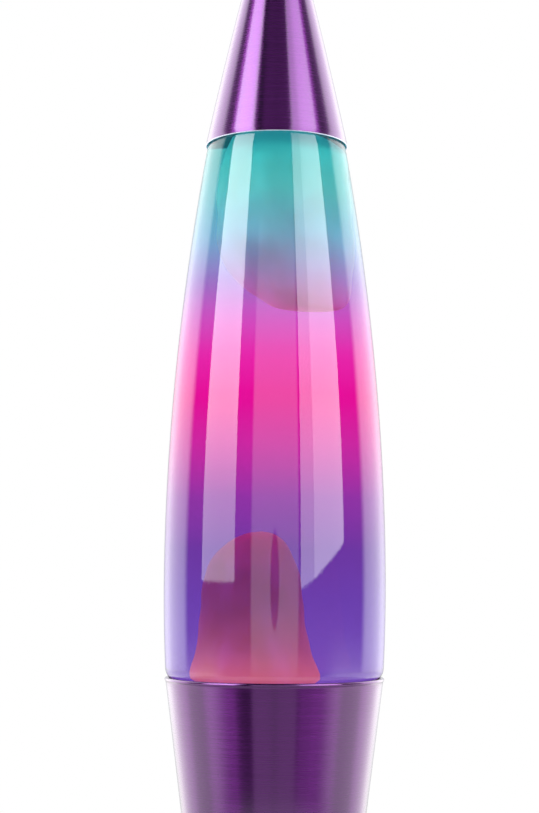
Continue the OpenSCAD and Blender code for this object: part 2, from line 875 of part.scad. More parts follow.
module bottom_cover() {
    top_z = cover_z + cover_t;
    color("dimgray")
        rotate_extrude($fn = round_fn)
            polygon([
                [pipe_r + fit_gap, hub_z],
                [hub_r, hub_z],
                [hub_r + hub_flare, cover_z],
                [base_inner_r(cover_z) - fit_gap, cover_z],
                [base_inner_r(top_z) - fit_gap, top_z],
                [hub_r + hub_flare + cover_t, top_z],
                [hub_r + cover_t, hub_z + cover_t],
                [pipe_r + fit_gap, hub_z + cover_t]
            ]);
}

foot_inset = 5;                         // gap between each foot and the lower edge
foot_ring_r = foot_r - foot_pad_r - foot_inset;
foot_pad_edge = 0.6;

module foot(i) {
    a = 90 * i - 45;
    color("black")
        translate([foot_ring_r * cos(a), foot_ring_r * sin(a), 0])
            rotate_extrude($fn = small_fn)
                polygon([
                    [0, 0],
                    [foot_pad_r - foot_pad_edge, 0],
                    [foot_pad_r, foot_pad_edge],
                    [foot_pad_r, foot_pad_h],
                    [0, foot_pad_h]
                ]);
}

module cord_grommet() {
    color("black")
        difference() {
            at_cord_hole() {
                translate([0, 0, -grommet_in])
                    cylinder(r = grommet_r, h = grommet_in + grommet_out, $fn = small_fn);
                translate([0, 0, -grommet_bite])
                    cylinder(r = grommet_flange_r, h = grommet_flange_t + grommet_bite, $fn = small_fn);
                translate([0, 0, -2 * base_wall - grommet_flange_t + grommet_bite])
                    cylinder(
                        r = grommet_flange_r - grommet_bite,
                        h = grommet_flange_t + grommet_bite,
                        $fn = small_fn
                    );
            }
            base_wall_ring(grommet_squeeze);
            at_cord_hole()
                translate([0, 0, -grommet_in - eps])
                    cylinder(r = cord_hole_r, h = grommet_in + grommet_out + 2 * eps, $fn = small_fn);
        }
}

// ---- Leads between the socket and the cord's end ----

lead_r = 1;
crimp_r = 2.4;
crimp_l = 11;
crimp_x = 4.5;
crimp_in = 19;                          // gap between the wall and the middle of each crimp
crimp_y = base_inner_r(cord_hole_z) - crimp_in;
lead_droop = [0, 2, 16];                // how a lead leaves its screw
lead_reach = [0, 20, -4];               // how a lead comes to its crimp
lead_sides = 8;
lead_steps = 14;

// A lead goes from its terminal screw down beside the strap and back to its crimp
module lead(side) {
    start = [side * (socket_r + terminal_head_t + lead_r + fit_gap), 0, terminal_z];
    end = [side * crimp_x, crimp_y - crimp_l / 2 - fit_gap, cord_hole_z];
    path = bezier(start, start - lead_droop, end - lead_reach, end, lead_steps);
    sides = [for (p = path) [1, 0, 0]];
    wire(path, sides, lead_r, lead_sides);
}

module lead_live() {
    color("black")
        lead(1);
}

module lead_neutral() {
    color("white")
        lead(-1);
}

module crimp_connectors() {
    color("lightgray")
        for (side = [-1, 1])
            translate([side * crimp_x, crimp_y + crimp_l / 2, cord_hole_z])
                rotate([90, 0, 0])
                    cylinder(r = crimp_r, h = crimp_l, $fn = small_fn);
}

// ---- Seat of the globe ----

seat_edge = 1.2;                        // the seat's cone stops this far short of the heel's ends
seat_in_r = cone_bottom[0] + seat_edge;
seat_out_r = cone_top[0] - seat_edge;
seat_t = 1;
seat_ledge_t = 1.6 * seat_t;            // the bend between cone and skirt is the thickest
seat_skirt_h = 9;

// Height of the seat's cone at radius r, just under the heel of the globe
function seat_z(r) = cone_top[1] - (cone_top[0] - r) / tan(heel_angle) - seat_gap / sin(heel_angle);

module globe_seat() {
    ledge_z = seat_z(seat_out_r);
    skirt_z = ledge_z - seat_skirt_h;
    color("gray")
        rotate_extrude($fn = round_fn)
            polygon([
                [base_inner_r(ledge_z), ledge_z],
                [base_inner_r(skirt_z), skirt_z],
                [base_inner_r(skirt_z) - seat_t, skirt_z],
                [base_inner_r(ledge_z) - seat_ledge_t, ledge_z - seat_ledge_t],
                [seat_out_r, ledge_z - seat_ledge_t],
                [seat_in_r, seat_z(seat_in_r) - seat_ledge_t],
                [seat_in_r, seat_z(seat_in_r)],
                [seat_out_r, ledge_z]
            ]);
}

base_shell();
globe_seat();
socket_body();
socket_shell();
socket_contact();
terminal_screws();
socket_strap();
lamp_pipe();
strap_nut();
bottom_cover();
bottom_washer();
bottom_nut();
foot(1);  // foot_1
foot(2);  // foot_2
foot(3);  // foot_3
foot(4);  // foot_4
cord_grommet();
lead_live();
lead_neutral();
crimp_connectors();
bulb_contact();
bulb_screw_shell();
bulb_insulator();
bulb_glass();
bulb_stem();
bulb_lead_wires();
bulb_filament();
globe_bottle();
crown_cap();
crown_liner();
fluid();
wax_mound();
heat_coil();
wax_blob();
cap_shell();
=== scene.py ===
import json
import math

import bpy
from mathutils import Matrix, Vector, noise


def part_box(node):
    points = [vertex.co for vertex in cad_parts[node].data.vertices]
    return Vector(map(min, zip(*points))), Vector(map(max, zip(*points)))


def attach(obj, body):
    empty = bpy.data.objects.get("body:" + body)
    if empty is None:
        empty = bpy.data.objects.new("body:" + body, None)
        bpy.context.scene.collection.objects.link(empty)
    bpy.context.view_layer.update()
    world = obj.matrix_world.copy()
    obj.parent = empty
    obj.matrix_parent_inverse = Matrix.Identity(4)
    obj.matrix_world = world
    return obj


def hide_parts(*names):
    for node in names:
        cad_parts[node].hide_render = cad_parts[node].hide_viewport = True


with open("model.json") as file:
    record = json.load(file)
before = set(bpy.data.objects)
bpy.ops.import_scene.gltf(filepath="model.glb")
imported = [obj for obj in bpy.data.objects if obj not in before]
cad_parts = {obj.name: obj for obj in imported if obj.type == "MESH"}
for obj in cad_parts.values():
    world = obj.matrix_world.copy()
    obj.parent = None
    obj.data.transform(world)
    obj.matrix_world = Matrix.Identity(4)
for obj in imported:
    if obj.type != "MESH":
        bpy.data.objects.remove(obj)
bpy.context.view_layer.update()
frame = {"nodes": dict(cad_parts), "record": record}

# Looks of the lava lamp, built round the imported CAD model. Shapes are worked out in millimetres,
# in the CAD model's frame, and become metres when their mesh is made.

MM = 0.001
scene = bpy.context.scene
behaviour = frame["record"]["behaviour"]
BODY = {node: body for body, nodes in behaviour["bodies"].items() for node in nodes}


def corners(node):
    """Lowest and highest corner of a CAD node, in millimetres."""
    low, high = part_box(node)
    return low / MM, high / MM


base_low, base_high = corners("base_shell")
cap_low, cap_high = corners("cap_shell")
globe_low, globe_high = corners("globe_bottle")
bulb_tip_z = corners("bulb_contact")[0].z
coil_low, coil_high = corners("heat_coil")
blob_top_z = corners("wax_blob")[1].z

# ---- Sizes from the frame's boxes, and the CAD model's own where the boxes don't give them ----

rim_z = base_high.z
foot_r = base_high.x
rim_r = 36.3
waist_r, waist_z, waist_blend = 26.8, 50.0, 9.0
base_wall = 0.8
rim_bead_r, rim_bead_in = 0.65, 0.45
foot_bead_r = 0.9

cap_rim_z = cap_low.z
cap_h = cap_high.z - cap_low.z
cap_rim_r = cap_high.x
cap_top_r, cap_bow, cap_wall, cap_edge_r = 8.4, 0.35, 0.7, 1.6

glass_wall = 2.5
belly_r, belly_swell, belly_z, taper_power = globe_high.x, 0.6, rim_z + 29, 1.93
heel_r, heel_z, heel_angle, heel_arc_r, heel_cone_l = rim_r, rim_z + 3, 43.0, 5.0, 9.8
under_arc_r, ring_half_w, punt_h = 9.0, 2.5, 4.0
globe_top_z = cap_rim_z - 0.3
globe_top_r = cap_rim_r - cap_wall - 0.05
neck_r, lip_r, lip_z = 11.5, 13.3, globe_high.z
finish_h, neck_straight, finish_edge_r = 5.0, 2.0, 1.4
shoulder_top_z = lip_z - finish_h - neck_straight
fill_z = corners("fluid")[1].z

screw_r, thread_pitch = 8.3, 2.82
cord_hole_r, cord_hole_z, grommet_wall = 2.9, 16.0, 1.6

# ---- Meshes ----

# Segments round a turned piece, by its size
HUGE, LARGE, MEDIUM, SMALL, TINY = 192, 160, 96, 64, 48


def skin(name, rings, loop=False):
    """A surface through rings of points; a ring of one point is a pole, and loop joins last to first."""
    starts, points = [], []
    for ring in rings:
        starts.append(len(points))
        points.extend(Vector(p) * MM for p in ring)
    faces = []
    order = list(range(len(rings))) + ([0] if loop else [])
    for i, j in zip(order, order[1:]):
        low, high = len(rings[i]), len(rings[j])
        if low == high == 1:
            continue
        count = max(low, high)
        for k in range(count):
            m = (k + 1) % count
            if low == 1:
                faces.append((starts[i], starts[j] + m, starts[j] + k))
            elif high == 1:
                faces.append((starts[i] + k, starts[i] + m, starts[j]))
            else:
                faces.append((starts[i] + k, starts[i] + m, starts[j] + m, starts[j] + k))
    mesh = bpy.data.meshes.new(name)
    mesh.from_pydata(points, [], faces)
    piece = bpy.data.objects.new(name, mesh)
    scene.collection.objects.link(piece)
    return piece


def turned(name, outline, segments, loop=False, shape=None):
    """A turned piece from an outline of (radius, height); shape may change both at each angle."""
    rings = []
    for r, z in outline:
        if r < 1e-6:
            rings.append([(0, 0, z)])
            continue
        ring = []
        for k in range(segments):
            a = 2 * math.pi * k / segments
            radius, height = shape(r, z, a) if shape else (r, z)
            ring.append((radius * math.cos(a), radius * math.sin(a), height))
        rings.append(ring)
    return skin(name, rings, loop)


def wire(name, path, radius, sides, core=None):
    """A round wire along a path; with core, the path is a closed coil round those points."""
    rings, side, count = [], None, len(path)
    for i, here in enumerate(path):
        before = path[i - 1] if i or core else here
        after = path[(i + 1) % count] if i < count - 1 or core else here
        along = (after - before).normalized()
        side = here - core[i] if core else side or along.orthogonal()
        side = (side - side.dot(along) * along).normalized()
        across = along.cross(side)
        turns = [2 * math.pi * k / sides for k in range(sides)]
        rings.append([here + radius * (math.cos(a) * side + math.sin(a) * across) for a in turns])
    if not core:
        rings = [[path[0]]] + rings + [[path[-1]]]
    return skin(name, rings, loop=core is not None)


def arc(centre, radius, start, end, steps=10):
    """Points of an arc from angle start to angle end, in degrees."""
    angles = [math.radians(start + (end - start) * i / steps) for i in range(steps + 1)]
    return [(centre[0] + radius * math.cos(a), centre[1] + radius * math.sin(a)) for a in angles]


def rounded(points, radius, steps=4):
    """A closed outline with each corner off the axis rounded."""
    out = []
    for i, (r, z) in enumerate(points):
        here = Vector((r, z))
        if r < 1e-6:
            out.append((r, z))
            continue
        before = Vector(points[i - 1]) - here
        after = Vector(points[(i + 1) % len(points)]) - here
        start = here + before.normalized() * min(radius, 0.45 * before.length)
        end = here + after.normalized() * min(radius, 0.45 * after.length)
        for s in range(steps + 1):
            u = s / steps
            out.append(tuple((1 - u) ** 2 * start + 2 * u * (1 - u) * here + u * u * end))
    return out


def steps_between(start, end, step):
    """Numbers from start to end, about one step apart."""
    count = max(1, round(abs(end - start) / step))
    return [start + (end - start) * i / count for i in range(count + 1)]


def lift(outline, height):
    """An outline raised by a height."""
    return [(r, z + height) for r, z in outline]


def dress(piece, *materials, crease=40):
    """Gives a piece its materials and smooth shading, with edges sharper than crease kept."""
    piece.data.materials.clear()
    for material in materials:
        piece.data.materials.append(material)
    piece.data.shade_smooth()
    piece.data.set_sharp_from_angle(angle=math.radians(crease))
    return piece


def stands_for(piece, *nodes):
    """The piece replaces CAD nodes, and takes its body from the first of them."""
    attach(piece, BODY[nodes[0]])
    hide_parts(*nodes)
    return piece


# ---- Materials ----


class Nodes:
    """A node tree, with short ways to add the nodes used here."""

    def __init__(self, tree):
        self.tree = tree

    def add(self, kind, inputs=None, **attributes):
        """A new node; an input may be a number, a colour or another node's socket."""
        node = self.tree.nodes.new("ShaderNode" + kind)
        for name, value in attributes.items():
            setattr(node, name, value)
        for name, value in (inputs or {}).items():
            if isinstance(value, bpy.types.NodeSocket):
                self.tree.links.new(value, node.inputs[name])
            else:
                node.inputs[name].default_value = value
        return node

    def calc(self, operation, a, b=0.0):
        """One step of arithmetic."""
        return self.add("Math", {0: a, 1: b}, operation=operation).outputs[0]

    def spread(self, value, low, high, to_low=0.0, to_high=1.0, smooth=False):
        """Maps low..high to to_low..to_high."""
        inputs = {"Value": value, "From Min": low, "From Max": high, "To Min": to_low, "To Max": to_high}
        kind = "SMOOTHSTEP" if smooth else "LINEAR"
        return self.add("MapRange", inputs, interpolation_type=kind).outputs["Result"]

    def place(self, scale=(1, 1, 1)):
        """Coordinates on the piece in metres, stretched by a scale."""
        spot = self.add("TexCoord").outputs["Object"]
        return self.add("VectorMath", {0: spot, 1: scale}, operation="MULTIPLY").outputs[0]

    def height(self, low, high):
        """0 at height low and 1 at height high, in millimetres."""
        spot = self.add("SeparateXYZ", {0: self.place()}).outputs["Z"]
        return self.spread(spot, low * MM, high * MM)

    def noise(self, scale, detail=3.0, rough=0.5):
        """Noise on the piece; scale is waves to the metre, or one scale for each axis."""
        if isinstance(scale, (int, float)):
            scale = (scale, scale, scale)
        inputs = {"Vector": self.place(scale), "Scale": 1.0, "Detail": detail, "Roughness": rough}
        return self.add("TexNoise", inputs).outputs["Fac"]

    def ramp(self, factor, stops):
        """A colour for each factor, from (position, colour) stops."""
        node = self.add("ValToRGB", {"Fac": factor})
        elements = node.color_ramp.elements
        while len(elements) < len(stops):
            elements.new(0.5)
        for element, (position, colour) in zip(elements, stops):
            element.position = position
            element.color = (*colour, 1)
        return node.outputs["Color"]


class Paint(Nodes):
    """A procedural material on one Principled shader."""

    def __init__(self, name, **settings):
        self.material = bpy.data.materials.new(name)
        self.material.use_nodes = True
        super().__init__(self.material.node_tree)
        self.shader = self.tree.nodes["Principled BSDF"]
        for socket, value in settings.items():
            self.shader.inputs[socket.replace("_", " ")].default_value = value

    def link(self, socket, value):
        self.tree.links.new(value, self.shader.inputs[socket])

    def bump(self, height, depth):
        """Raises the surface by depth millimetres where height is 1."""
        inputs = {"Height": height, "Strength": 1.0, "Distance": depth * MM}
        self.link("Normal", self.add("Bump", inputs).outputs["Normal"])

    def let_light_through(self, tint=None):
        """Shadow and diffuse rays pass straight through, so that light reaches what is inside."""
        path = self.add("LightPath").outputs
        straight = self.calc("MAXIMUM", path["Is Shadow Ray"], path["Is Diffuse Ray"])
        clear = self.add("BsdfTransparent")
        if tint:
            self.tree.links.new(tint, clear.inputs["Color"])
        inputs = {0: straight, 1: self.shader.outputs[0], 2: clear.outputs[0]}
        out = self.add("MixShader", inputs).outputs[0]
        self.tree.links.new(out, self.tree.nodes["Material Output"].inputs["Surface"])


def mottled(name, dark, light, scale, rough, bump=0.0, **settings):
    """A material whose colour, gloss and surface vary with one noise."""
    paint = Paint(name, **settings)
    grain = paint.noise(scale, detail=4.0)
    paint.link("Base Color", paint.ramp(grain, [(0.3, dark), (0.7, light)]))
    paint.link("Roughness", paint.spread(grain, 0.3, 0.7, rough[0], rough[1]))
    if bump:
        paint.bump(grain, bump)
    return paint.material


def spun_metal(name, dark, light):
    """Dyed, anodised aluminium with fine brush lines round the axis."""
    paint = Paint(
        name, Metallic=1.0, Anisotropic=1.0, Anisotropic_Rotation=0.25,
        Coat_Weight=0.9, Coat_Roughness=0.12, Coat_IOR=1.5,
    )
    fine = paint.noise((25, 25, 4200), 2.0)
    broad = paint.noise((10, 10, 1100), 2.0)
    lines = paint.calc("ADD", paint.calc("MULTIPLY", fine, 0.7), paint.calc("MULTIPLY", broad, 0.3))
    paint.link("Base Color", paint.ramp(lines, [(0.35, dark), (0.65, light)]))
    paint.link("Roughness", paint.spread(lines, 0.3, 0.7, 0.25, 0.29))
    paint.link("Tangent", paint.add("Tangent", direction_type="RADIAL", axis="Z").outputs[0])
    paint.bump(lines, 0.0003)
    return paint.material


def metal(name, dark, light, rough=(0.25, 0.4), scale=400, bump=0.004):
    return mottled(name, dark, light, scale, rough, bump, Metallic=1.0)


# The lacquer's colour from the heel of the globe to its shoulder, as seen through both walls
LACQUER = [
    (118, (0.72, 0.70, 0.84)),
    (124, (0.20, 0.085, 0.50)),
    (137, (0.170, 0.068, 0.480)),
    (153, (0.150, 0.050, 0.430)),
    (169, (0.155, 0.038, 0.370)),
    (186, (0.290, 0.033, 0.385)),
    (203, (0.610, 0.020, 0.370)),
    (219, (0.830, 0.001, 0.320)),
    (233, (0.830, 0.018, 0.420)),
    (246, (0.620, 0.085, 0.560)),
    (257, (0.340, 0.170, 0.590)),
    (272, (0.165, 0.420, 0.650)),
    (286, (0.095, 0.480, 0.550)),
    (302, (0.033, 0.410, 0.410)),
]


def lacquer(paint):
    """The lacquer's colour at each height of the globe."""
    low, high = LACQUER[0][0], LACQUER[-1][0]
    stops = [((z - low) / (high - low), colour) for z, colour in LACQUER]
    return paint.ramp(paint.height(low, high), stops)


def lacquered_glass():
    """Glass with clear coloured lacquer outside; light on its way in crosses one coat only."""
    paint = Paint("lacquered_glass", Transmission_Weight=1.0, Roughness=0.0, IOR=1.5)
    colour = lacquer(paint)
    paint.link("Base Color", colour)
    one_coat = paint.add("Gamma", {"Color": colour, "Gamma": 0.5}).outputs[0]
    paint.let_light_through(one_coat)
    paint.bump(paint.noise((60, 60, 25), 2.0), 0.012)
    return paint.material


def clear(name, ior, rough=0.0, tint=(1, 1, 1)):
    """Clear glass or liquid, seen from a medium against which its index is ior."""
    paint = Paint(name, Transmission_Weight=1.0, IOR=ior, Base_Color=(*tint, 1))
    paint.link("Roughness", paint.spread(paint.noise(300), 0, 1, rough, rough + 0.01))
    paint.let_light_through()
    return paint.material


def seen_through(name):
    """The side of the liquid, which has no surface of its own against the wetted glass."""
    material = bpy.data.materials.new(name)
    material.use_nodes = True
    nodes = Nodes(material.node_tree)
    nodes.tree.nodes.remove(nodes.tree.nodes["Principled BSDF"])
    shade = nodes.ramp(nodes.noise(40), [(0.3, (0.995, 0.998, 1.0)), (0.7, (1.0, 1.0, 1.0))])
    clear_shader = nodes.add("BsdfTransparent", {"Color": shade})
    output = nodes.tree.nodes["Material Output"]
    nodes.tree.links.new(clear_shader.outputs[0], output.inputs["Surface"])
    return material


def wax(name, albedo, glow, heights):
    """Cloudy wax; glow lists painted light, an emission colour that stands in for light falling on the wax,
    at even steps between two heights.
    """
    paint = Paint(
        name, Subsurface_Weight=0.7, Subsurface_Radius=(1.0, 0.55, 0.45), Subsurface_Scale=0.005,
        Coat_Weight=0.15, Coat_Roughness=0.3, Emission_Strength=1.0,
    )
    cloud = paint.noise((55, 55, 32), 4.0, 0.6)
    dark = tuple(0.86 * c for c in albedo)
    paint.link("Base Color", paint.ramp(cloud, [(0.35, dark), (0.7, albedo)]))
    paint.link("Roughness", paint.spread(cloud, 0.3, 0.7, 0.35, 0.55))
    count = len(glow) - 1
    steps = [(i / count, colour) for i, colour in enumerate(glow)]
    # Painted light: an emission colour by height, standing in for light that falls on the wax
    paint.link("Emission Color", paint.ramp(paint.height(*heights), steps))
    paint.bump(cloud, 0.25)
    return paint.material


def hot_filament():
    paint = Paint("filament", Metallic=0.6, Emission_Strength=9.0)
    heat = paint.noise(500)
    paint.link("Emission Color", paint.ramp(heat, [(0.3, (1.0, 0.42, 0.12)), (0.7, (1.0, 0.60, 0.26))]))
    paint.link("Base Color", paint.ramp(heat, [(0.3, (0.3, 0.25, 0.2)), (0.7, (0.5, 0.42, 0.34))]))
    return paint.material


PURPLE_DARK, PURPLE_LIGHT = (0.090, 0.015, 0.124), (0.105, 0.019, 0.146)

# Painted light on each wax, as emission from its lowest listed height to its highest: it stands in for the
# bulb's warm light on the foot of the mound, and for light on the ends of the blob
MOUND_PAINTED_LIGHT_HEIGHTS = (rim_z - 3, rim_z + 48)
MOUND_PAINTED_LIGHT = [
    (1.25, 0.34, 0.14), (0.52, 0.13, 0.05), (0.20, 0.05, 0.03), (0.08, 0.02, 0.03), (0.04, 0.01, 0.02),
]
BLOB_PAINTED_LIGHT_HEIGHTS = (246, 310)
BLOB_PAINTED_LIGHT = [
    (0.10, 0.12, 0.02), (0.06, 0.08, 0.01), (0.02, 0.03, 0.0),
    (0.0, 0.0, 0.0), (0.0, 0.0, 0.0), (0.0, 0.0, 0.0),
    (0.01, 0.07, 0.09), (0.05, 0.30, 0.37), (0.08, 0.42, 0.52),
]

MATERIALS = {
    "base": spun_metal("anodised_base", PURPLE_DARK, PURPLE_LIGHT),
    "cap": spun_metal("anodised_cap", PURPLE_DARK, PURPLE_LIGHT),
    "glass_outside": lacquered_glass(),
    "glass_dry": clear("glass_dry", 1.5),
    "glass_wet": clear("glass_wet", 1.128),
    "liquid_side": seen_through("liquid_side"),
    "liquid_top": clear("liquid_top", 1.33),
    # The mound and the blob are one wax; the mound's warmer colour is painted warm light from the bulb below
    # it
    "wax_low": wax("wax_low", (0.51, 0.29, 0.18), MOUND_PAINTED_LIGHT, MOUND_PAINTED_LIGHT_HEIGHTS),
    "wax_high": wax("wax_high", (0.53, 0.58, 0.50), BLOB_PAINTED_LIGHT, BLOB_PAINTED_LIGHT_HEIGHTS),
    "bare": metal("bare_aluminium", (0.68, 0.70, 0.84), (0.82, 0.84, 0.94), (0.5, 0.65), 700),
    "coil": metal("coil_steel", (0.16, 0.14, 0.15), (0.32, 0.29, 0.30)),
    "crown": metal("crown_tinplate", (0.26, 0.25, 0.23), (0.38, 0.37, 0.34), (0.2, 0.32), 250),
    "liner": mottled("liner_plastic", (0.72, 0.70, 0.64), (0.82, 0.80, 0.75), 300, (0.4, 0.55), 0.01),
    "steel": metal("zinc_plated_steel", (0.34, 0.33, 0.32), (0.46, 0.45, 0.43)),
    "seat": metal("seat_metal", (0.24, 0.23, 0.24), (0.34, 0.33, 0.34), (0.3, 0.45)),
    "brass": metal("brass", (0.62, 0.42, 0.17), (0.78, 0.56, 0.26)),
    "solder": metal("solder", (0.42, 0.42, 0.44), (0.60, 0.60, 0.62), (0.3, 0.45), 900, 0.01),
    "nickel": metal("bulb_wire", (0.55, 0.53, 0.50), (0.68, 0.66, 0.62)),
    "socket": mottled("socket_plastic", (0.60, 0.55, 0.44), (0.72, 0.67, 0.56), 350, (0.35, 0.5), 0.006),
    "insulator": mottled("insulator_black", (0.010, 0.010, 0.014), (0.028, 0.026, 0.034), 500, (0.12, 0.25)),
    "cover": mottled("cover_plastic", (0.018, 0.017, 0.019), (0.040, 0.038, 0.042), 900, (0.45, 0.6), 0.03),
    "rubber": mottled("foot_rubber", (0.012, 0.012, 0.013), (0.030, 0.029, 0.030), 1200, (0.6, 0.8), 0.02),
    "lead_dark": mottled("lead_dark", (0.014, 0.013, 0.014), (0.030, 0.028, 0.030), 600, (0.3, 0.45), 0.008),
    "lead_pale": mottled("lead_pale", (0.62, 0.61, 0.58), (0.76, 0.75, 0.72), 600, (0.3, 0.45), 0.008),
    "nylon": mottled("crimp_nylon", (0.55, 0.56, 0.55), (0.70, 0.71, 0.70), 300, (0.3, 0.45), 0.008),
    "bulb_glass": clear("bulb_glass", 1.45, 0.02),
    "stem_glass": clear("stem_glass", 1.5, 0.08, (0.9, 0.95, 0.93)),
    "filament": hot_filament(),
}

# ---- Base ----

upper_slope = (rim_r - waist_r) / (rim_z - waist_z)
lower_slope = (waist_r - foot_r) / (waist_z - base_low.z)


def base_r(z):
    """Outer radius of the base at height z: two cones that blend at the waist."""
    d = z - waist_z
    if abs(d) >= waist_blend:
        return waist_r + (upper_slope if d > 0 else lower_slope) * d
    bend = (upper_slope - lower_slope) / (4 * waist_blend)
    return waist_r + (upper_slope + lower_slope) / 2 * d + bend * (d * d + waist_blend ** 2)


wall_angle = math.atan(-lower_slope)
on_wall = Matrix.Translation(Vector((0, base_r(cord_hole_z), cord_hole_z)) * MM)
on_wall = on_wall @ Matrix.Rotation(wall_angle - math.pi / 2, 4, "X")
grommet_r = cord_hole_r + grommet_wall


def cut_hole(piece, radius, matrix):
    """Cuts a round hole through a piece along the matrix's own Z."""
    reach = 12.0
    tool = turned("hole", [(0, -reach), (radius, -reach), (radius, reach), (0, reach)], TINY)
    tool.matrix_world = matrix
    cut = piece.modifiers.new("hole", "BOOLEAN")
    cut.object, cut.operation, cut.solver = tool, "DIFFERENCE", "EXACT"
    graph = bpy.context.evaluated_depsgraph_get()
    piece.data = bpy.data.meshes.new_from_object(piece.evaluated_get(graph))
    piece.modifiers.clear()
    bpy.data.objects.remove(tool)


def make_base():
    rim_centre = (rim_r - rim_bead_in, rim_z - rim_bead_r)
    foot_centre = (foot_r - foot_bead_r, base_low.z + foot_bead_r)
    wall = steps_between(base_low.z + 2.4, rim_z - 1.6, 1.5)
    outline = arc(foot_centre, foot_bead_r, 200, 385, 16)
    outline += [(base_r(z), z) for z in wall]
    outline += arc(rim_centre, rim_bead_r, -55, 215, 20)
    outline += [(base_r(z) - base_wall, z) for z in reversed(wall)]
    shell = turned("base_body", outline, HUGE, loop=True)
    cut_hole(shell, grommet_r, on_wall)
    stands_for(dress(shell, MATERIALS["base"]), "base_shell")


def make_grommet():
    flange_r, flange_t, inside, outside = grommet_r + 2, 1.6, 5, 3
    outline = rounded([
        (cord_hole_r, -inside), (grommet_r - 0.4, -inside), (grommet_r, -2.6), (flange_r - 0.6, -2.5),
        (flange_r - 0.6, -1.3), (grommet_r, -1.2), (grommet_r, -0.6), (flange_r, -0.6),
        (flange_r, flange_t - 0.2), (grommet_r + 0.4, flange_t), (grommet_r - 0.2, outside),
        (cord_hole_r, outside),
    ], 0.5)
    grommet = turned("grommet", outline, SMALL, loop=True)
    grommet.data.transform(on_wall)
    stands_for(dress(grommet, MATERIALS["rubber"]), "cord_grommet")


# ---- Cap ----


def cap_r(h):
    """Outer radius of the cap at height h above its rim."""
    u = h / cap_h
    return cap_rim_r - (cap_rim_r - cap_top_r) * u + 4 * cap_bow * u * (1 - u)


def make_cap():
    side_h = cap_h - cap_edge_r
    edge = (cap_r(side_h) - cap_edge_r, side_h)
    hem_r = cap_wall / 2
    outline = arc((cap_rim_r - hem_r, hem_r), hem_r, 180, 340, 8)
    outline += [(cap_r(h), h) for h in steps_between(0.5, side_h, 1.5)]
    outline += arc(edge, cap_edge_r, 10, 90)
    outline += [(edge[0] * i / 6, cap_h) for i in range(5, -1, -1)]
    outline += [(0, cap_h - cap_wall), (edge[0], cap_h - cap_wall)]
    outline += [(cap_r(h) - cap_wall, h) for h in steps_between(side_h - cap_wall, 0.5, 1.5)]
    cap = turned("cap_cone", lift(outline, cap_rim_z), HUGE, loop=True)
    dress(cap, MATERIALS["cap"], MATERIALS["bare"])
    for face in cap.data.polygons:
        spot = face.center / MM
        height = spot.z - cap_rim_z
        inside = math.hypot(spot.x, spot.y) < cap_r(height) - cap_wall / 2
        in_hem = height < cap_wall / 2
        below_top = height < cap_h - cap_wall / 2
        face.material_index = int((inside or in_hem) and below_top)
    stands_for(cap, "cap_shell")


# ---- Globe ----


def globe_r(z):
    """Outer radius of the globe between heel and shoulder."""
    if z < belly_z:
        return belly_r - belly_swell * ((belly_z - z) / (belly_z - heel_z)) ** 2
    share = (z - belly_z) / (globe_top_z - belly_z)
    return belly_r - (belly_r - globe_top_r) * share ** taper_power


def moved_in(radius_at, z, t):
    """The point of an outline at height z, moved in by t square to the outline."""
    slope = (radius_at(z + 0.01) - radius_at(z - 0.01)) / 0.02
    k = math.hypot(1, slope)
    return (radius_at(z) - t / k, z + t * slope / k)


def shoulder_r(z):
    """Radius of the shoulder, from the globe's top to the neck."""
    h = shoulder_top_z - globe_top_z
    u = min(max((z - globe_top_z) / h, 0.0), 1.0)
    slope = (globe_r(globe_top_z) - globe_r(globe_top_z - 0.01)) / 0.01
    fall = 1 - 3 * u * u + 2 * u ** 3
    return neck_r + (globe_top_r - neck_r) * fall + slope * h * u * (1 - u) ** 2


heel_start = math.degrees(math.atan((globe_r(heel_z + 0.01) - globe_r(heel_z)) / 0.01))


def out_from(angle):
    """A direction outward and down by an angle, as (radius, height)."""
    a = math.radians(angle)
    return Vector((math.cos(a), -math.sin(a)))


heel_centre = Vector((heel_r, heel_z)) - heel_arc_r * out_from(heel_start)
cone_top = heel_centre + heel_arc_r * out_from(heel_angle)
cone_lean = math.radians(heel_angle)
cone_bottom = cone_top - heel_cone_l * Vector((math.sin(cone_lean), math.cos(cone_lean)))
under_centre = cone_bottom - under_arc_r * out_from(heel_angle)
ring_r = under_centre.x
punt_r = ring_r - ring_half_w


def globe_outline(t):
    """Outline of the globe from under its centre up to the neck, moved in by t."""
    punt = []
    for i in range(13):
        r = punt_r * i / 12
        punt.append((r, globe_low.z + t + punt_h * (1 - (r / punt_r) ** 2)))
    outline = punt + arc(under_centre, under_arc_r - t, -90, -heel_angle, 14)
    outline += arc(heel_centre, heel_arc_r - t, -heel_angle, -heel_start, 12)
    outline += [moved_in(globe_r, z, t) for z in steps_between(heel_z, globe_top_z, 2.5)[1:-1]]
    outline += [moved_in(shoulder_r, z, t) for z in steps_between(globe_top_z, shoulder_top_z, 1)[1:-1]]
    return outline + [(neck_r - t, shoulder_top_z)]


meniscus = 1.2      # how far the liquid climbs the glass
meniscus_w = 2.2    # width of that curve


def repaint(piece, strip, material):
    """Gives one strip between two rings of a globe or its liquid another of the piece's materials."""
    for k in range(strip * HUGE, (strip + 1) * HUGE):
        piece.data.polygons[k].material_index = material


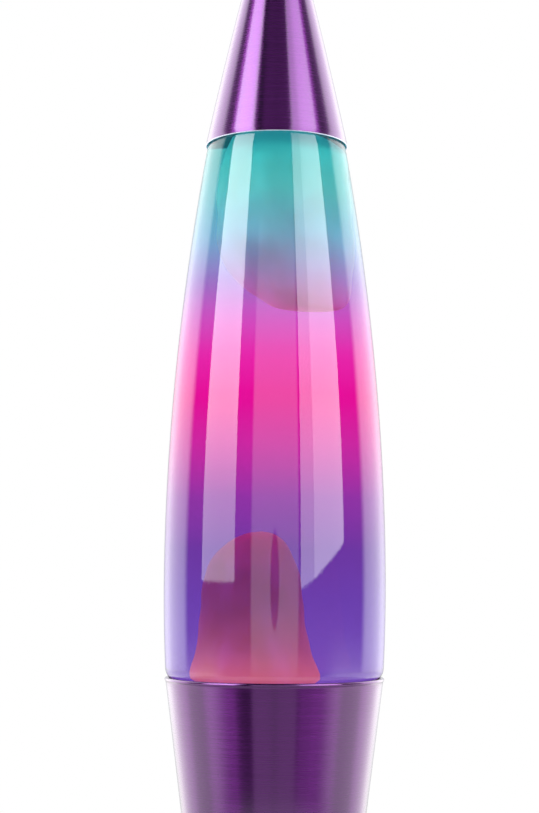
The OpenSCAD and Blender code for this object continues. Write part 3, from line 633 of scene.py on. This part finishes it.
def make_globe():
    lip_centre = (lip_r - finish_edge_r, lip_z - finish_edge_r)
    outside = globe_outline(0)
    outside += [(neck_r, lip_z - finish_h), (lip_r, lip_z - finish_h + 1), (lip_r, lip_z - finish_edge_r)]
    outside += arc(lip_centre, finish_edge_r, 0, 90, 6)
    inside = [(neck_r - glass_wall, lip_z)] + list(reversed(globe_outline(glass_wall)))
    outline = outside + inside
    bottle = turned("bottle", outline, HUGE)
    dress(bottle, MATERIALS["glass_outside"], MATERIALS["glass_wet"], MATERIALS["glass_dry"])
    for i in range(len(outside) - 1, len(outline) - 1):
        wet = outline[i][1] < fill_z + meniscus + 1
        repaint(bottle, i, 1 if wet else 2)
    stands_for(bottle, "globe_bottle")


def make_liquid():
    gap = 0.03
    side = [p for p in globe_outline(glass_wall + gap) if p[1] < fill_z]
    wall_r = moved_in(shoulder_r, fill_z + meniscus, glass_wall + gap)[0]
    top = []
    for i in range(9):
        u = i / 8
        top.append((wall_r - meniscus_w * (1 - (1 - u) ** 2), fill_z + meniscus * (1 - u) ** 3))
    top += [(top[-1][0] * (1 - u), fill_z) for u in (0.25, 0.5, 0.75, 1.0)]
    liquid = turned("liquid", side + top, HUGE)
    dress(liquid, MATERIALS["liquid_side"], MATERIALS["liquid_top"], crease=80)
    for i in range(len(side), len(side + top) - 1):
        repaint(liquid, i, 1)
    stands_for(liquid, "fluid")


# ---- Wax and coil ----


def smooth_between(stations, steps):
    """A smooth run through rows of numbers, by Catmull-Rom, with steps between each pair of rows."""
    rows = [Vector(s) for s in stations]
    rows = [2 * rows[0] - rows[1]] + rows + [2 * rows[-1] - rows[-2]]
    out = []
    for a, b, c, d in zip(rows, rows[1:], rows[2:], rows[3:]):
        for i in range(steps):
            u = i / steps
            out.append(0.5 * (2 * b + (c - a) * u + (2 * a - 5 * b + 4 * c - d) * u * u
                              + (3 * b - a - 3 * c + d) * u ** 3))
    return out + [rows[-2]]


def lump(name, stations, ripple, seed):
    """A soft lump through rings at (height, centre x, centre y, radius), with slow ripples."""
    steps, ripple_l = 7, 9
    rings = []
    for z, x, y, r in smooth_between(stations, steps):
        ring = []
        for k in range(MEDIUM):
            a = 2 * math.pi * k / MEDIUM
            spot = Vector((x + r * math.cos(a), y + r * math.sin(a), z))
            swell = ripple * min(1.0, r / 6) * noise.noise(spot / ripple_l + Vector((seed, 0, 0)))
            ring.append((x + (r + swell) * math.cos(a), y + (r + swell) * math.sin(a), z))
        rings.append(ring)
    first, last = stations[0], stations[-1]
    rings[0] = [(first[1], first[2], first[0])]
    rings[-1] = [(last[1], last[2], last[0])]
    return skin(name, rings)


# Height above the base's rim, centre x, centre y and radius of the mound of wax
MOUND = [
    (-5.4, -5.0, 0.0, 0.0),
    (-5.3, -4.8, 0.0, 8.5),
    (-4.6, -4.6, 0.2, 14.5),
    (-1.5, -4.9, 0.3, 16.4),
    (4.0, -5.1, 0.4, 15.9),
    (12.0, -5.5, 0.5, 13.9),
    (24.0, -5.8, 0.2, 12.9),
    (34.0, -5.7, -0.3, 11.9),
    (40.0, -5.5, -0.5, 9.9),
    (44.5, -4.6, -0.4, 6.9),
    (47.2, -3.8, -0.2, 3.4),
    (48.0, -3.4, 0.0, 0.0),
]

# Height below the blob's top, centre x, centre y and radius of the risen wax
BLOB = [
    (-59.6, 8.6, 0.0, 0.0),
    (-59.3, 8.6, 0.0, 4.6),
    (-58.3, 8.4, 0.0, 8.2),
    (-56.0, 7.4, 0.2, 10.9),
    (-52.0, 5.5, 0.3, 13.4),
    (-44.0, 3.4, 0.3, 15.9),
    (-35.0, 2.2, 0.0, 17.0),
    (-27.0, 2.1, -0.2, 17.0),
    (-20.0, 2.0, -0.2, 16.8),
    (-13.0, 2.2, -0.1, 16.1),
    (-8.0, 2.4, 0.0, 15.3),
    (-5.2, 2.3, 0.0, 14.6),
    (-3.0, 1.4, 0.0, 12.9),
    (-1.2, 0.2, 0.0, 10.6),
    (-0.3, -0.5, 0.0, 7.0),
    (0.0, -0.6, 0.0, 0.0),
]


def make_wax():
    mound = lump("wax_mound_shape", [(rim_z + z, x, y, r) for z, x, y, r in MOUND], 0.9, 3.0)
    stands_for(dress(mound, MATERIALS["wax_low"], crease=180), "wax_mound")
    blob = lump("wax_blob_shape", [(blob_top_z + z, x, y, r) for z, x, y, r in BLOB], 0.8, 11.0)
    stands_for(dress(blob, MATERIALS["wax_high"], crease=180), "wax_blob")


def make_coil():
    turns, steps, wire_r = 30, 20, 0.55
    centre_z = (coil_low.z + coil_high.z) / 2
    turn_r = (coil_high.z - coil_low.z) / 2 - wire_r
    core, path = [], []
    for i in range(turns * steps):
        a = 2 * math.pi * i / (turns * steps)
        b = 2 * math.pi * i / steps
        out = Vector((math.cos(a), math.sin(a), 0))
        core.append(ring_r * out + Vector((0, 0, centre_z)))
        path.append(core[-1] + turn_r * (math.cos(b) * out + math.sin(b) * Vector((0, 0, 1))))
    coil = wire("coil_ring", path, wire_r, 10, core)
    stands_for(dress(coil, MATERIALS["coil"], crease=80), "heat_coil")


# ---- Crown cap ----


def make_crown():
    top_z = corners("crown_cap")[1].z
    skirt_h, sheet_t, edge_r = 6.0, 0.3, corners("crown_cap")[1].x
    flutes, depth = 21, 0.55
    mean_r = edge_r - depth

    def fluted(r, z, a):
        share = min(max((top_z - 0.8 - z) / 3.0, 0.0), 1.0)
        return r + share * depth * math.cos(flutes * a), z

    outside = [(mean_r, top_z - skirt_h), (mean_r - 0.1, top_z - 4.5), (mean_r - 0.35, top_z - 3)]
    outside += [(lip_r + 1.3, top_z - 1.8)] + arc((lip_r - 0.6, top_z - 1.4), 1.4, 15, 90, 6)
    outside += [(lip_r - 2.2, top_z), (lip_r - 2.8, top_z - 0.2)]
    outside += [(lip_r - 3.6, top_z - 0.25), (0, top_z - 0.25)]
    inside = [(0, top_z - 0.3), (lip_r - 0.8, top_z - 0.3), (lip_r + 0.25, top_z - 1.0)]
    inside += [(lip_r + 0.75, top_z - 2.4), (mean_r - 0.35 - sheet_t, top_z - 3.2)]
    inside += [(mean_r - sheet_t, top_z - 4.6), (mean_r - sheet_t, top_z - skirt_h)]
    crown = turned("crown", outside + inside, 12 * flutes, loop=True, shape=fluted)
    stands_for(dress(crown, MATERIALS["crown"]), "crown_cap")

    low, high = corners("crown_liner")
    liner = rounded([(0, low.z), (high.x, low.z), (high.x, high.z), (0, high.z)], 0.2)
    stands_for(dress(turned("liner", liner, MEDIUM), MATERIALS["liner"]), "crown_liner")


# ---- Bulb ----

bulb_low, bulb_high = corners("bulb_glass")
bulb_r = bulb_high.x
dome_z = bulb_high.z - bulb_r
screw_low, screw_high = corners("bulb_screw_shell")
neck_glass_r = screw_r - 0.9


def rolled_thread(depth, start, end):
    """A shape for turned() that rolls the bulb's thread into a wall, fading out at both ends."""
    fade_l = 0.8

    def shape(r, z, a):
        phase = (z - bulb_tip_z) / thread_pitch - a / (2 * math.pi)
        wave = 0.5 - 0.5 * math.cos(2 * math.pi * phase)
        near_end = min(1.0, max(0.0, min(z - start, end - z) / fade_l))
        return r - depth * wave ** 1.5 * near_end, z

    return shape


def bulb_outline(t):
    """Outline of the bulb's glass from its neck to its top, moved in by t."""
    h = dome_z - screw_high.z

    def radius_at(z):
        u = min(max((z - screw_high.z) / h, 0.0), 1.0)
        return bulb_r + (neck_glass_r - bulb_r) * (1 - 3 * u * u + 2 * u ** 3)

    side = [moved_in(radius_at, z, t) for z in steps_between(screw_high.z, dome_z, 1.2)[:-1]]
    return [(neck_glass_r - t, bulb_low.z)] + side + arc((0, dome_z), bulb_r - t, 0, 90, 20)[:-1]


def make_bulb():
    glass_t = 0.6
    top = [(0, bulb_high.z), (0, bulb_high.z - glass_t)]
    outline = bulb_outline(0) + top + bulb_outline(glass_t)[::-1]
    glass = turned("bulb_envelope", outline, MEDIUM, loop=True)
    stands_for(dress(glass, MATERIALS["bulb_glass"], crease=80), "bulb_glass")

    sheet = 0.35
    side = steps_between(screw_low.z + 1.2, screw_high.z - 0.9, 0.28)
    outside = [(4.2, screw_low.z), (screw_r - 1.1, screw_low.z), (screw_r - 0.5, screw_low.z + 0.4)]
    outside += [(screw_r, z) for z in side]
    outside += [(screw_r - 0.1, screw_high.z)]
    inside = [(screw_r - sheet - 0.1, screw_high.z)] + [(screw_r - sheet, z) for z in side[::-1]]
    inside += [(4.2, screw_low.z + sheet)]
    thread = rolled_thread(0.5, side[0], side[-1])
    shell = turned("bulb_thread", outside + inside, MEDIUM, loop=True, shape=thread)
    stands_for(dress(shell, MATERIALS["brass"], crease=60), "bulb_screw_shell")

    low, high = corners("bulb_insulator")
    cone = rounded([(0, low.z), (3.4, low.z), (high.x, high.z), (0, high.z)], 0.5)
    stands_for(dress(turned("bulb_base_glass", cone, SMALL), MATERIALS["insulator"]), "bulb_insulator")

    low, high = corners("bulb_contact")
    button = arc((0, high.z - 0.45), 1.0, -90, -60, 3)[:-1]
    button = [(0, low.z)] + [(high.x * u, low.z + 0.55 * u ** 4) for u in (0.3, 0.55, 0.75, 0.9, 1.0)]
    button += [(high.x, high.z - 0.15), (high.x - 0.15, high.z), (0, high.z)]
    stands_for(dress(turned("bulb_button", button, TINY), MATERIALS["solder"]), "bulb_contact")


def make_filament():
    stem_low, stem_high = corners("bulb_stem")
    rod_r, press_w = 1.8, 2.6

    def pressed(r, z, a):
        """The glass stem flattens into a press near its top."""
        share = min(max((z - stem_low.z - 7) / 4, 0.0), 1.0)
        wide, thin = 1 + share * (press_w / rod_r - 1), 1 - 0.45 * share
        stretch = math.hypot(wide * math.cos(a), thin * math.sin(a))
        return r * stretch, z

    z = stem_low.z
    outline = [(0, z), (stem_high.x, z), (stem_high.x, z + 0.8), (4.4, z + 1.4), (3.2, z + 3.0)]
    outline += [(2.2, z + 4.8), (rod_r, z + 6.5), (rod_r, z + 9), (rod_r, stem_high.z - 0.8)]
    outline += [(rod_r - 0.5, stem_high.z - 0.1), (0, stem_high.z)]
    stem = turned("glass_stem", outline, TINY, shape=pressed)
    stands_for(dress(stem, MATERIALS["stem_glass"], crease=60), "bulb_stem")

    low, high = corners("bulb_filament")
    arch_r, coil_r, wire_r = (high.x - low.x) / 2 - 0.25, 0.42, 0.11
    turns, steps = 46, 10
    centre = Vector(((low.x + high.x) / 2, (low.y + high.y) / 2, low.z + 0.25))
    path = []
    for i in range(turns * steps + 1):
        a = math.pi * i / (turns * steps)
        b = 2 * math.pi * i / steps
        out = Vector((math.cos(a), 0, math.sin(a) * 0.8))
        path.append(centre + arch_r * out + coil_r * (math.cos(b) * out + math.sin(b) * Vector((0, 1, 0))))
    filament = wire("filament_coil", path, wire_r, 6)
    stands_for(dress(filament, MATERIALS["filament"], crease=80), "bulb_filament")

    for side, name in ((-1, "support_wire_left"), (1, "support_wire_right")):
        foot = Vector((side * 1.5, 0, stem_high.z - 2.5))
        knee = Vector((side * 3.6, 0, stem_high.z + 2.0))
        end = Vector((side * arch_r, 0, centre.z + 0.3))
        points = smooth_between([foot, (foot + knee) / 2 + Vector((0, 0, 0.6)), knee, end], 6)
        support = wire(name, points, 0.28, 10)
        dress(support, MATERIALS["nickel"], crease=80)
        if side < 0:
            stands_for(support, "bulb_lead_wires")
        else:
            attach(support, BODY["bulb_lead_wires"])


# ---- Socket and hardware ----


def make_socket_shell():
    low, high = corners("socket_shell")
    sheet, bore = 0.45, screw_r + 0.08
    side = steps_between(low.z + 0.8, high.z - 0.6, 0.3)
    outside = [(5.6, low.z), (bore - 0.2, low.z), (bore + 0.2, low.z + 0.4)]
    outside += [(bore + sheet, z) for z in side] + [(bore + sheet, high.z)]
    inside = [(bore + 0.05, high.z)] + [(bore, z) for z in side[::-1]]
    inside += [(5.6, low.z + sheet)]
    thread = rolled_thread(0.42, side[0], side[-1])
    shell = turned("socket_thread", outside + inside, MEDIUM, loop=True, shape=thread)
    stands_for(dress(shell, MATERIALS["brass"], crease=60), "socket_shell")


def make_pipe():
    low, high = corners("lamp_pipe")
    pipe_r, bore_r, pitch, depth = high.x, high.x - 1.6, 1.0, 0.35

    def threaded(r, z, a):
        if r < bore_r + 0.2:
            return r, z
        phase = z / pitch - a / (2 * math.pi)
        return r - depth * abs(2 * (phase % 1.0) - 1), z

    outline = [(bore_r, low.z), (pipe_r - 0.3, low.z)]
    outline += [(pipe_r, z) for z in steps_between(low.z + 0.3, high.z - 0.3, 0.125)]
    outline += [(pipe_r - 0.3, high.z), (bore_r, high.z)]
    pipe = turned("threaded_pipe", outline, TINY, loop=True, shape=threaded)
    stands_for(dress(pipe, MATERIALS["steel"], crease=60), "lamp_pipe")


def make_nut(name, node):
    """A hexagon nut with its corners chamfered."""
    low, high = corners(node)
    bore, corner_r, chamfer = 4.9, high.x, 0.7
    flat_r = corner_r * math.cos(math.pi / 6)

    def hexagon(r, z, a):
        if r < bore + 0.8:
            return r, z
        turn = (a + math.pi / 6) % (math.pi / 3) - math.pi / 6
        return min(r, flat_r / math.cos(math.pi / 6 - abs(turn))), z

    outline = [(bore, low.z + 0.4), (bore + 0.4, low.z), (flat_r - 0.2, low.z), (corner_r, low.z + chamfer)]
    outline += [(corner_r, high.z - chamfer), (flat_r - 0.2, high.z)]
    outline += [(bore + 0.4, high.z), (bore, high.z - 0.4)]
    nut = turned(name, outline, 6 * 24, loop=True, shape=hexagon)
    stands_for(dress(nut, MATERIALS["steel"], crease=25), node)


def make_bottom():
    low, high = corners("bottom_cover")
    thick, hub_r, flare = 1.6, 13.0, 3.0
    hub_z = high.z - thick
    edge_r, bore = high.x, 4.95
    under = [(bore, hub_z), (hub_r, hub_z), (hub_r + flare, low.z)]
    groove_d = 0.35
    for r in (22, 30, 38):
        floor_z = low.z + groove_d
        under += [(r - 0.7, low.z), (r - 0.4, floor_z), (r + 0.4, floor_z), (r + 0.7, low.z)]
    under += [(edge_r, low.z), (edge_r - 0.6, low.z + thick)]
    over = [(hub_r + flare + thick, low.z + thick), (hub_r + thick, high.z), (bore, high.z)]
    cover = turned("cover_plate", rounded(under + over, 0.4, 3), LARGE, loop=True)
    stands_for(dress(cover, MATERIALS["cover"]), "bottom_cover")

    low, high = corners("bottom_washer")
    ring = rounded([(bore, low.z), (high.x, low.z), (high.x, high.z), (bore, high.z)], 0.15)
    washer = turned("washer", ring, MEDIUM, loop=True)
    stands_for(dress(washer, MATERIALS["steel"]), "bottom_washer")

    for i in range(1, 5):
        low, high = corners(f"foot_{i}")
        radius, tall = (high.x - low.x) / 2, high.z - low.z
        outline = [(0, 0.35), (radius - 2.4, 0.35), (radius - 1.9, 0), (radius - 0.6, 0), (radius, 0.7)]
        outline += [(radius, tall - 0.3), (radius - 0.3, tall), (0, tall)]
        foot = turned(f"rubber_foot_{i}", rounded(outline, 0.35), SMALL)
        centre = Vector(((low.x + high.x) / 2, (low.y + high.y) / 2, 0))
        foot.data.transform(Matrix.Translation(centre * MM))
        stands_for(dress(foot, MATERIALS["rubber"]), f"foot_{i}")


def make_seat():
    low_z = corners("globe_seat")[0].z
    edge, skirt_t, ledge_t, gap = 1.2, 1.0, 1.6, 0.05
    out_r, in_r = cone_top.x - edge, cone_bottom.x + edge

    def seat_z(r):
        """Height of the sloping seat at radius r, a gap below the globe's heel."""
        return cone_top.y - (cone_top.x - r) / math.tan(cone_lean) - gap / math.sin(cone_lean)

    ledge_z, wall_in = seat_z(out_r), base_wall + gap
    under_z = ledge_z - ledge_t
    outline = rounded([
        (base_r(ledge_z) - wall_in, ledge_z), (base_r(low_z) - wall_in, low_z),
        (base_r(low_z) - wall_in - skirt_t, low_z), (base_r(ledge_z) - wall_in - ledge_t, under_z),
        (out_r, under_z), (in_r, seat_z(in_r) - ledge_t), (in_r, seat_z(in_r)), (out_r, ledge_z),
    ], 0.35)
    seat = turned("seat_ring", outline[::-1], LARGE, loop=True)
    stands_for(dress(seat, MATERIALS["seat"]), "globe_seat")


def make_leads():
    crimp_low, crimp_high = corners("crimp_connectors")
    terminal_low, terminal_high = corners("terminal_screws")
    terminal_z = (terminal_low.z + terminal_high.z) / 2
    crimp_r, crimp_x = (crimp_high.z - crimp_low.z) / 2, 4.5
    crimp_z = (crimp_low.z + crimp_high.z) / 2
    lead_r, steps = 1.0, 40
    for side, node, paint in ((1, "lead_live", "lead_dark"), (-1, "lead_neutral", "lead_pale")):
        start = Vector((side * (terminal_high.x + 1.1), 0, terminal_z))
        end = Vector((side * crimp_x, crimp_low.y - 0.1, crimp_z))
        p1, p2 = start - Vector((0, 2, 16)), end - Vector((0, 20, -4))
        path = []
        for i in range(steps + 1):
            u = i / steps
            w = 1 - u
            path.append(w ** 3 * start + 3 * w * w * u * p1 + 3 * w * u * u * p2 + u ** 3 * end)
        lead = wire(node + "_sheath", path, lead_r, 16)
        stands_for(dress(lead, MATERIALS[paint], crease=80), node)

    length = crimp_high.y - crimp_low.y
    outline = [(0, 0), (crimp_r - 0.9, 0), (crimp_r, 0.8), (crimp_r, 3.2), (crimp_r - 0.6, 4.0)]
    outline += [(crimp_r - 0.6, 6.2), (crimp_r, 7.0), (crimp_r, length - 1.6), (crimp_r - 0.8, length - 0.3)]
    outline += [(0, length)]
    for side, name in ((-1, "crimp_left"), (1, "crimp_right")):
        crimp = turned(name, rounded(outline, 0.5), TINY)
        spot = Vector((side * crimp_x, crimp_low.y, crimp_z))
        turn = Matrix.Rotation(-math.pi / 2, 4, "X")
        crimp.data.transform(Matrix.Translation(spot * MM) @ turn)
        dress(crimp, MATERIALS["nylon"])
        if side < 0:
            stands_for(crimp, "crimp_connectors")
        else:
            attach(crimp, BODY["crimp_connectors"])


def dress_cad_nodes():
    """Bent and drilled pieces keep their CAD shape, with softened edges and a finish."""
    kept = {
        "socket_body": ("socket", 0.35), "socket_contact": ("brass", 0.08),
        "terminal_screws": ("brass", 0.15), "socket_strap": ("steel", 0.25),
    }
    for node, (paint, width) in kept.items():
        piece = frame["nodes"][node]
        piece.data.materials.clear()
        piece.data.materials.append(MATERIALS[paint])
        bevel = piece.modifiers.new("soft_edges", "BEVEL")
        bevel.width, bevel.segments, bevel.limit_method = width * MM, 3, "ANGLE"


make_base()
make_grommet()
make_cap()
make_globe()
make_liquid()
make_wax()
make_coil()
make_crown()
make_bulb()
make_filament()
make_socket_shell()
make_pipe()
make_nut("strap_hex_nut", "strap_nut")
make_nut("bottom_hex_nut", "bottom_nut")
make_bottom()
make_seat()
make_leads()
dress_cad_nodes()

# ---- Studio ----


def blend(nodes, factor, a, b):
    """Mixes two colours; each is a socket or plain numbers."""
    mix = nodes.add("Mix", data_type="RGBA")
    colours = [socket for socket in mix.inputs if socket.type == "RGBA"]
    for socket, value in zip([mix.inputs[0]] + colours, (factor, a, b)):
        if isinstance(value, bpy.types.NodeSocket):
            nodes.tree.links.new(value, socket)
        else:
            socket.default_value = (*value, 1)
    return [socket for socket in mix.outputs if socket.type == "RGBA"][0]


def square(nodes, value):
    """A socket's value times itself."""
    return nodes.calc("MULTIPLY", value, value)


def make_world():
    """White to the camera and through the glass; reflections see a lit back and a dark front.

    In front stands a pale panel, with the dark round of a camera's lens in its middle.
    """
    # Light of the fields that reflections see
    back_lit, back_dim = (2.8, 2.8, 2.8), (0.75, 0.75, 0.78)
    table_lit, table_dim = (2.0, 2.0, 1.9), (0.70, 0.70, 0.70)
    front_dark, table_dark = (0.11, 0.06, 0.14), (0.04, 0.03, 0.05)
    panel_upper, panel_lower = (1.7, 1.7, 1.7), (0.45, 0.45, 0.45)

    # Edges between those fields, as an angle and half the width of its blur, in degrees
    horizon, back_fall, front_end, table_end = (-7, 4), (156, 16), (104, 5), (62, 14)
    panel_side, panel_top, lens_edge = (24, 1.5), (26, 4), (4.4, 0.5)

    world = bpy.data.worlds.new("studio")
    world.use_nodes = True
    scene.world = world
    nodes = Nodes(world.node_tree)
    direction = nodes.add("SeparateXYZ", {0: nodes.add("TexCoord").outputs["Generated"]}).outputs
    facing = nodes.calc("MULTIPLY", direction["Y"], -1.0)
    azimuth = nodes.calc("ABSOLUTE", nodes.calc("ARCTAN2", direction["X"], facing))
    elevation = nodes.calc("ARCSINE", direction["Z"])

    def past(angle, edge):
        """0 before an edge and 1 past it."""
        centre, soft = edge
        return nodes.spread(angle, math.radians(centre - soft), math.radians(centre + soft), smooth=True)

    above = past(elevation, horizon)
    behind = blend(nodes, past(azimuth, back_fall), back_lit, back_dim)
    table = blend(nodes, past(azimuth, back_fall), table_lit, table_dim)
    upper = blend(nodes, past(azimuth, front_end), front_dark, behind)
    lower = blend(nodes, past(azimuth, table_end), table_dark, table)
    panel = blend(nodes, above, panel_lower, panel_upper)
    within = nodes.calc("SUBTRACT", 1.0, past(azimuth, panel_side))
    under_top = nodes.calc("SUBTRACT", 1.0, past(elevation, panel_top))
    off_centre = nodes.calc("SQRT", nodes.calc("ADD", square(nodes, azimuth), square(nodes, elevation)))
    around_lens = past(off_centre, lens_edge)
    share = nodes.calc("MULTIPLY", nodes.calc("MULTIPLY", within, under_top), around_lens)
    reflected = blend(nodes, share, blend(nodes, above, lower, upper), panel)
    path = nodes.add("LightPath").outputs
    seen = nodes.calc("MAXIMUM", path["Is Camera Ray"], path["Is Transmission Ray"])
    final = blend(nodes, seen, reflected, (1, 1, 1))
    nodes.tree.links.new(final, nodes.tree.nodes["Background"].inputs["Color"])


def softbox(name, from_angle, to_angle, levels, start, slant=0.0):
    """An upright light between two angles from the front, in degrees to the right.

    Levels are its brightness at shares of its height. Its bottom edge is uneven: it lies at the
    share start, and slant lifts it to one side.
    """
    distance, low, high = 1.2, 0.135, 2.1   # in metres
    uneven_h, uneven_scale = 0.012, 60.0    # how far the edge wanders, and how often

    def spot(angle):
        a = math.radians(angle)
        return Vector((distance * math.sin(a), -distance * math.cos(a), 0))

    left, right = spot(from_angle), spot(to_angle)
    peak = max(level for share, level in levels)
    light = bpy.data.lights.new(name, "AREA")
    light.shape = "RECTANGLE"
    light.size, light.size_y = (right - left).length, high - low
    light.energy = peak * math.pi * light.size * light.size_y
    light.use_nodes = True
    nodes = Nodes(light.node_tree)
    across = nodes.add("SeparateXYZ", {0: nodes.add("NewGeometry").outputs["Parametric"]}).outputs
    glow = nodes.ramp(across["Y"], [(share, (level / peak,) * 3) for share, level in levels])
    wobble = nodes.add("TexNoise", {"Scale": uneven_scale, "Detail": 2.0}, noise_dimensions="1D")
    nodes.tree.links.new(across["X"], wobble.inputs["W"])
    bottom = nodes.calc("ADD", nodes.calc("MULTIPLY", across["X"], slant), start)
    bottom = nodes.calc("ADD", bottom, nodes.calc("MULTIPLY", wobble.outputs["Fac"], uneven_h))
    lit = nodes.calc("GREATER_THAN", across["Y"], bottom)
    strength = nodes.tree.nodes["Emission"].inputs["Strength"]
    nodes.tree.links.new(nodes.calc("MULTIPLY", lit, glow), strength)
    lamp = bpy.data.objects.new(name, light)
    scene.collection.objects.link(lamp)
    lamp.location = (left + right) / 2 + Vector((0, 0, (low + high) / 2))
    aim = Vector((-lamp.location.x, -lamp.location.y, 0))
    lamp.rotation_mode = "QUATERNION"
    lamp.rotation_quaternion = aim.to_track_quat("-Z", "Y")
    lamp.visible_camera = False
    lamp.visible_transmission = False


def make_lights():
    left = [(0, 4.2), (0.1, 4.8), (0.2, 7.5), (0.3, 9.4), (0.42, 8.8), (0.62, 6.0), (1, 5.0)]
    inner = [(0, 4.4), (0.2, 4.2), (0.3, 5.6), (0.42, 4.8), (0.62, 3.0), (1, 2.4)]
    outer = [(0, 6.4), (0.2, 6.6), (0.3, 8.2), (0.42, 6.4), (0.62, 3.8), (1, 3.2)]
    bulb_glow_up = 4
    softbox("left_softbox", -79, -41, left, 0.007)
    softbox("right_softbox_inner", 26, 40, inner, 0.0, 0.010)
    softbox("right_softbox_outer", 40, 74, outer, 0.010, 0.032)
    glow = bpy.data.lights.new("bulb_glow", "POINT")
    glow.energy, glow.color, glow.shadow_soft_size = 0.10, (1.0, 0.55, 0.28), 0.006
    lamp = bpy.data.objects.new("bulb_glow", glow)
    lamp.location = (0, 0, (dome_z + bulb_glow_up) * MM)
    scene.collection.objects.link(lamp)
    lamp.visible_camera = False
    lamp.visible_glossy = False
    lamp.visible_transmission = False


def make_floor():
    """A round pale floor that fades to the white of the background."""
    fade_start, reach = 90, 260
    radii = [0, 40, 80, 120, 160, 200, 230, reach]
    floor = turned("floor", [(r, 0) for r in reversed(radii)], MEDIUM)
    paint = Paint("floor_paint", Roughness=0.7, Specular_IOR_Level=0.2)
    tone = paint.noise(4.0)
    paint.link("Base Color", paint.ramp(tone, [(0.3, (0.34, 0.34, 0.345)), (0.7, (0.37, 0.37, 0.375))]))
    spot = paint.add("VectorMath", {0: paint.place()}, operation="LENGTH").outputs["Value"]
    fade = paint.spread(spot, fade_start * MM, reach * MM, smooth=True)
    white = paint.add("Emission", {"Color": (1, 1, 1, 1), "Strength": 1.0})
    mix = paint.add("MixShader", {0: fade, 1: paint.shader.outputs[0], 2: white.outputs[0]})
    paint.tree.links.new(mix.outputs[0], paint.tree.nodes["Material Output"].inputs["Surface"])
    dress(floor, paint.material)


def make_camera():
    """A long lens, level with the lower part of the globe, in metres and degrees."""
    distance, eye_z = 0.599, 0.1624
    tilt, pan, roll = 1.34, 0.175, 0.25
    camera = bpy.data.cameras.new("camera")
    camera.lens, camera.shift_y = 79.6, 0.15
    camera.clip_start, camera.clip_end = 0.05, 20
    eye = bpy.data.objects.new("camera", camera)
    scene.collection.objects.link(eye)
    turn = Matrix.Rotation(math.radians(pan), 4, "Z") @ Matrix.Rotation(math.radians(90 + tilt), 4, "X")
    turn = turn @ Matrix.Rotation(math.radians(roll), 4, "Z")
    eye.matrix_world = Matrix.Translation((0, -distance, eye_z)) @ turn
    scene.camera = eye


make_world()
make_lights()
make_floor()
make_camera()

scene.view_settings.view_transform = "Standard"
scene.cycles.max_bounces = 24
scene.cycles.transmission_bounces = 20
scene.cycles.transparent_max_bounces = 40
scene.cycles.caustics_reflective = False
scene.cycles.caustics_refractive = False
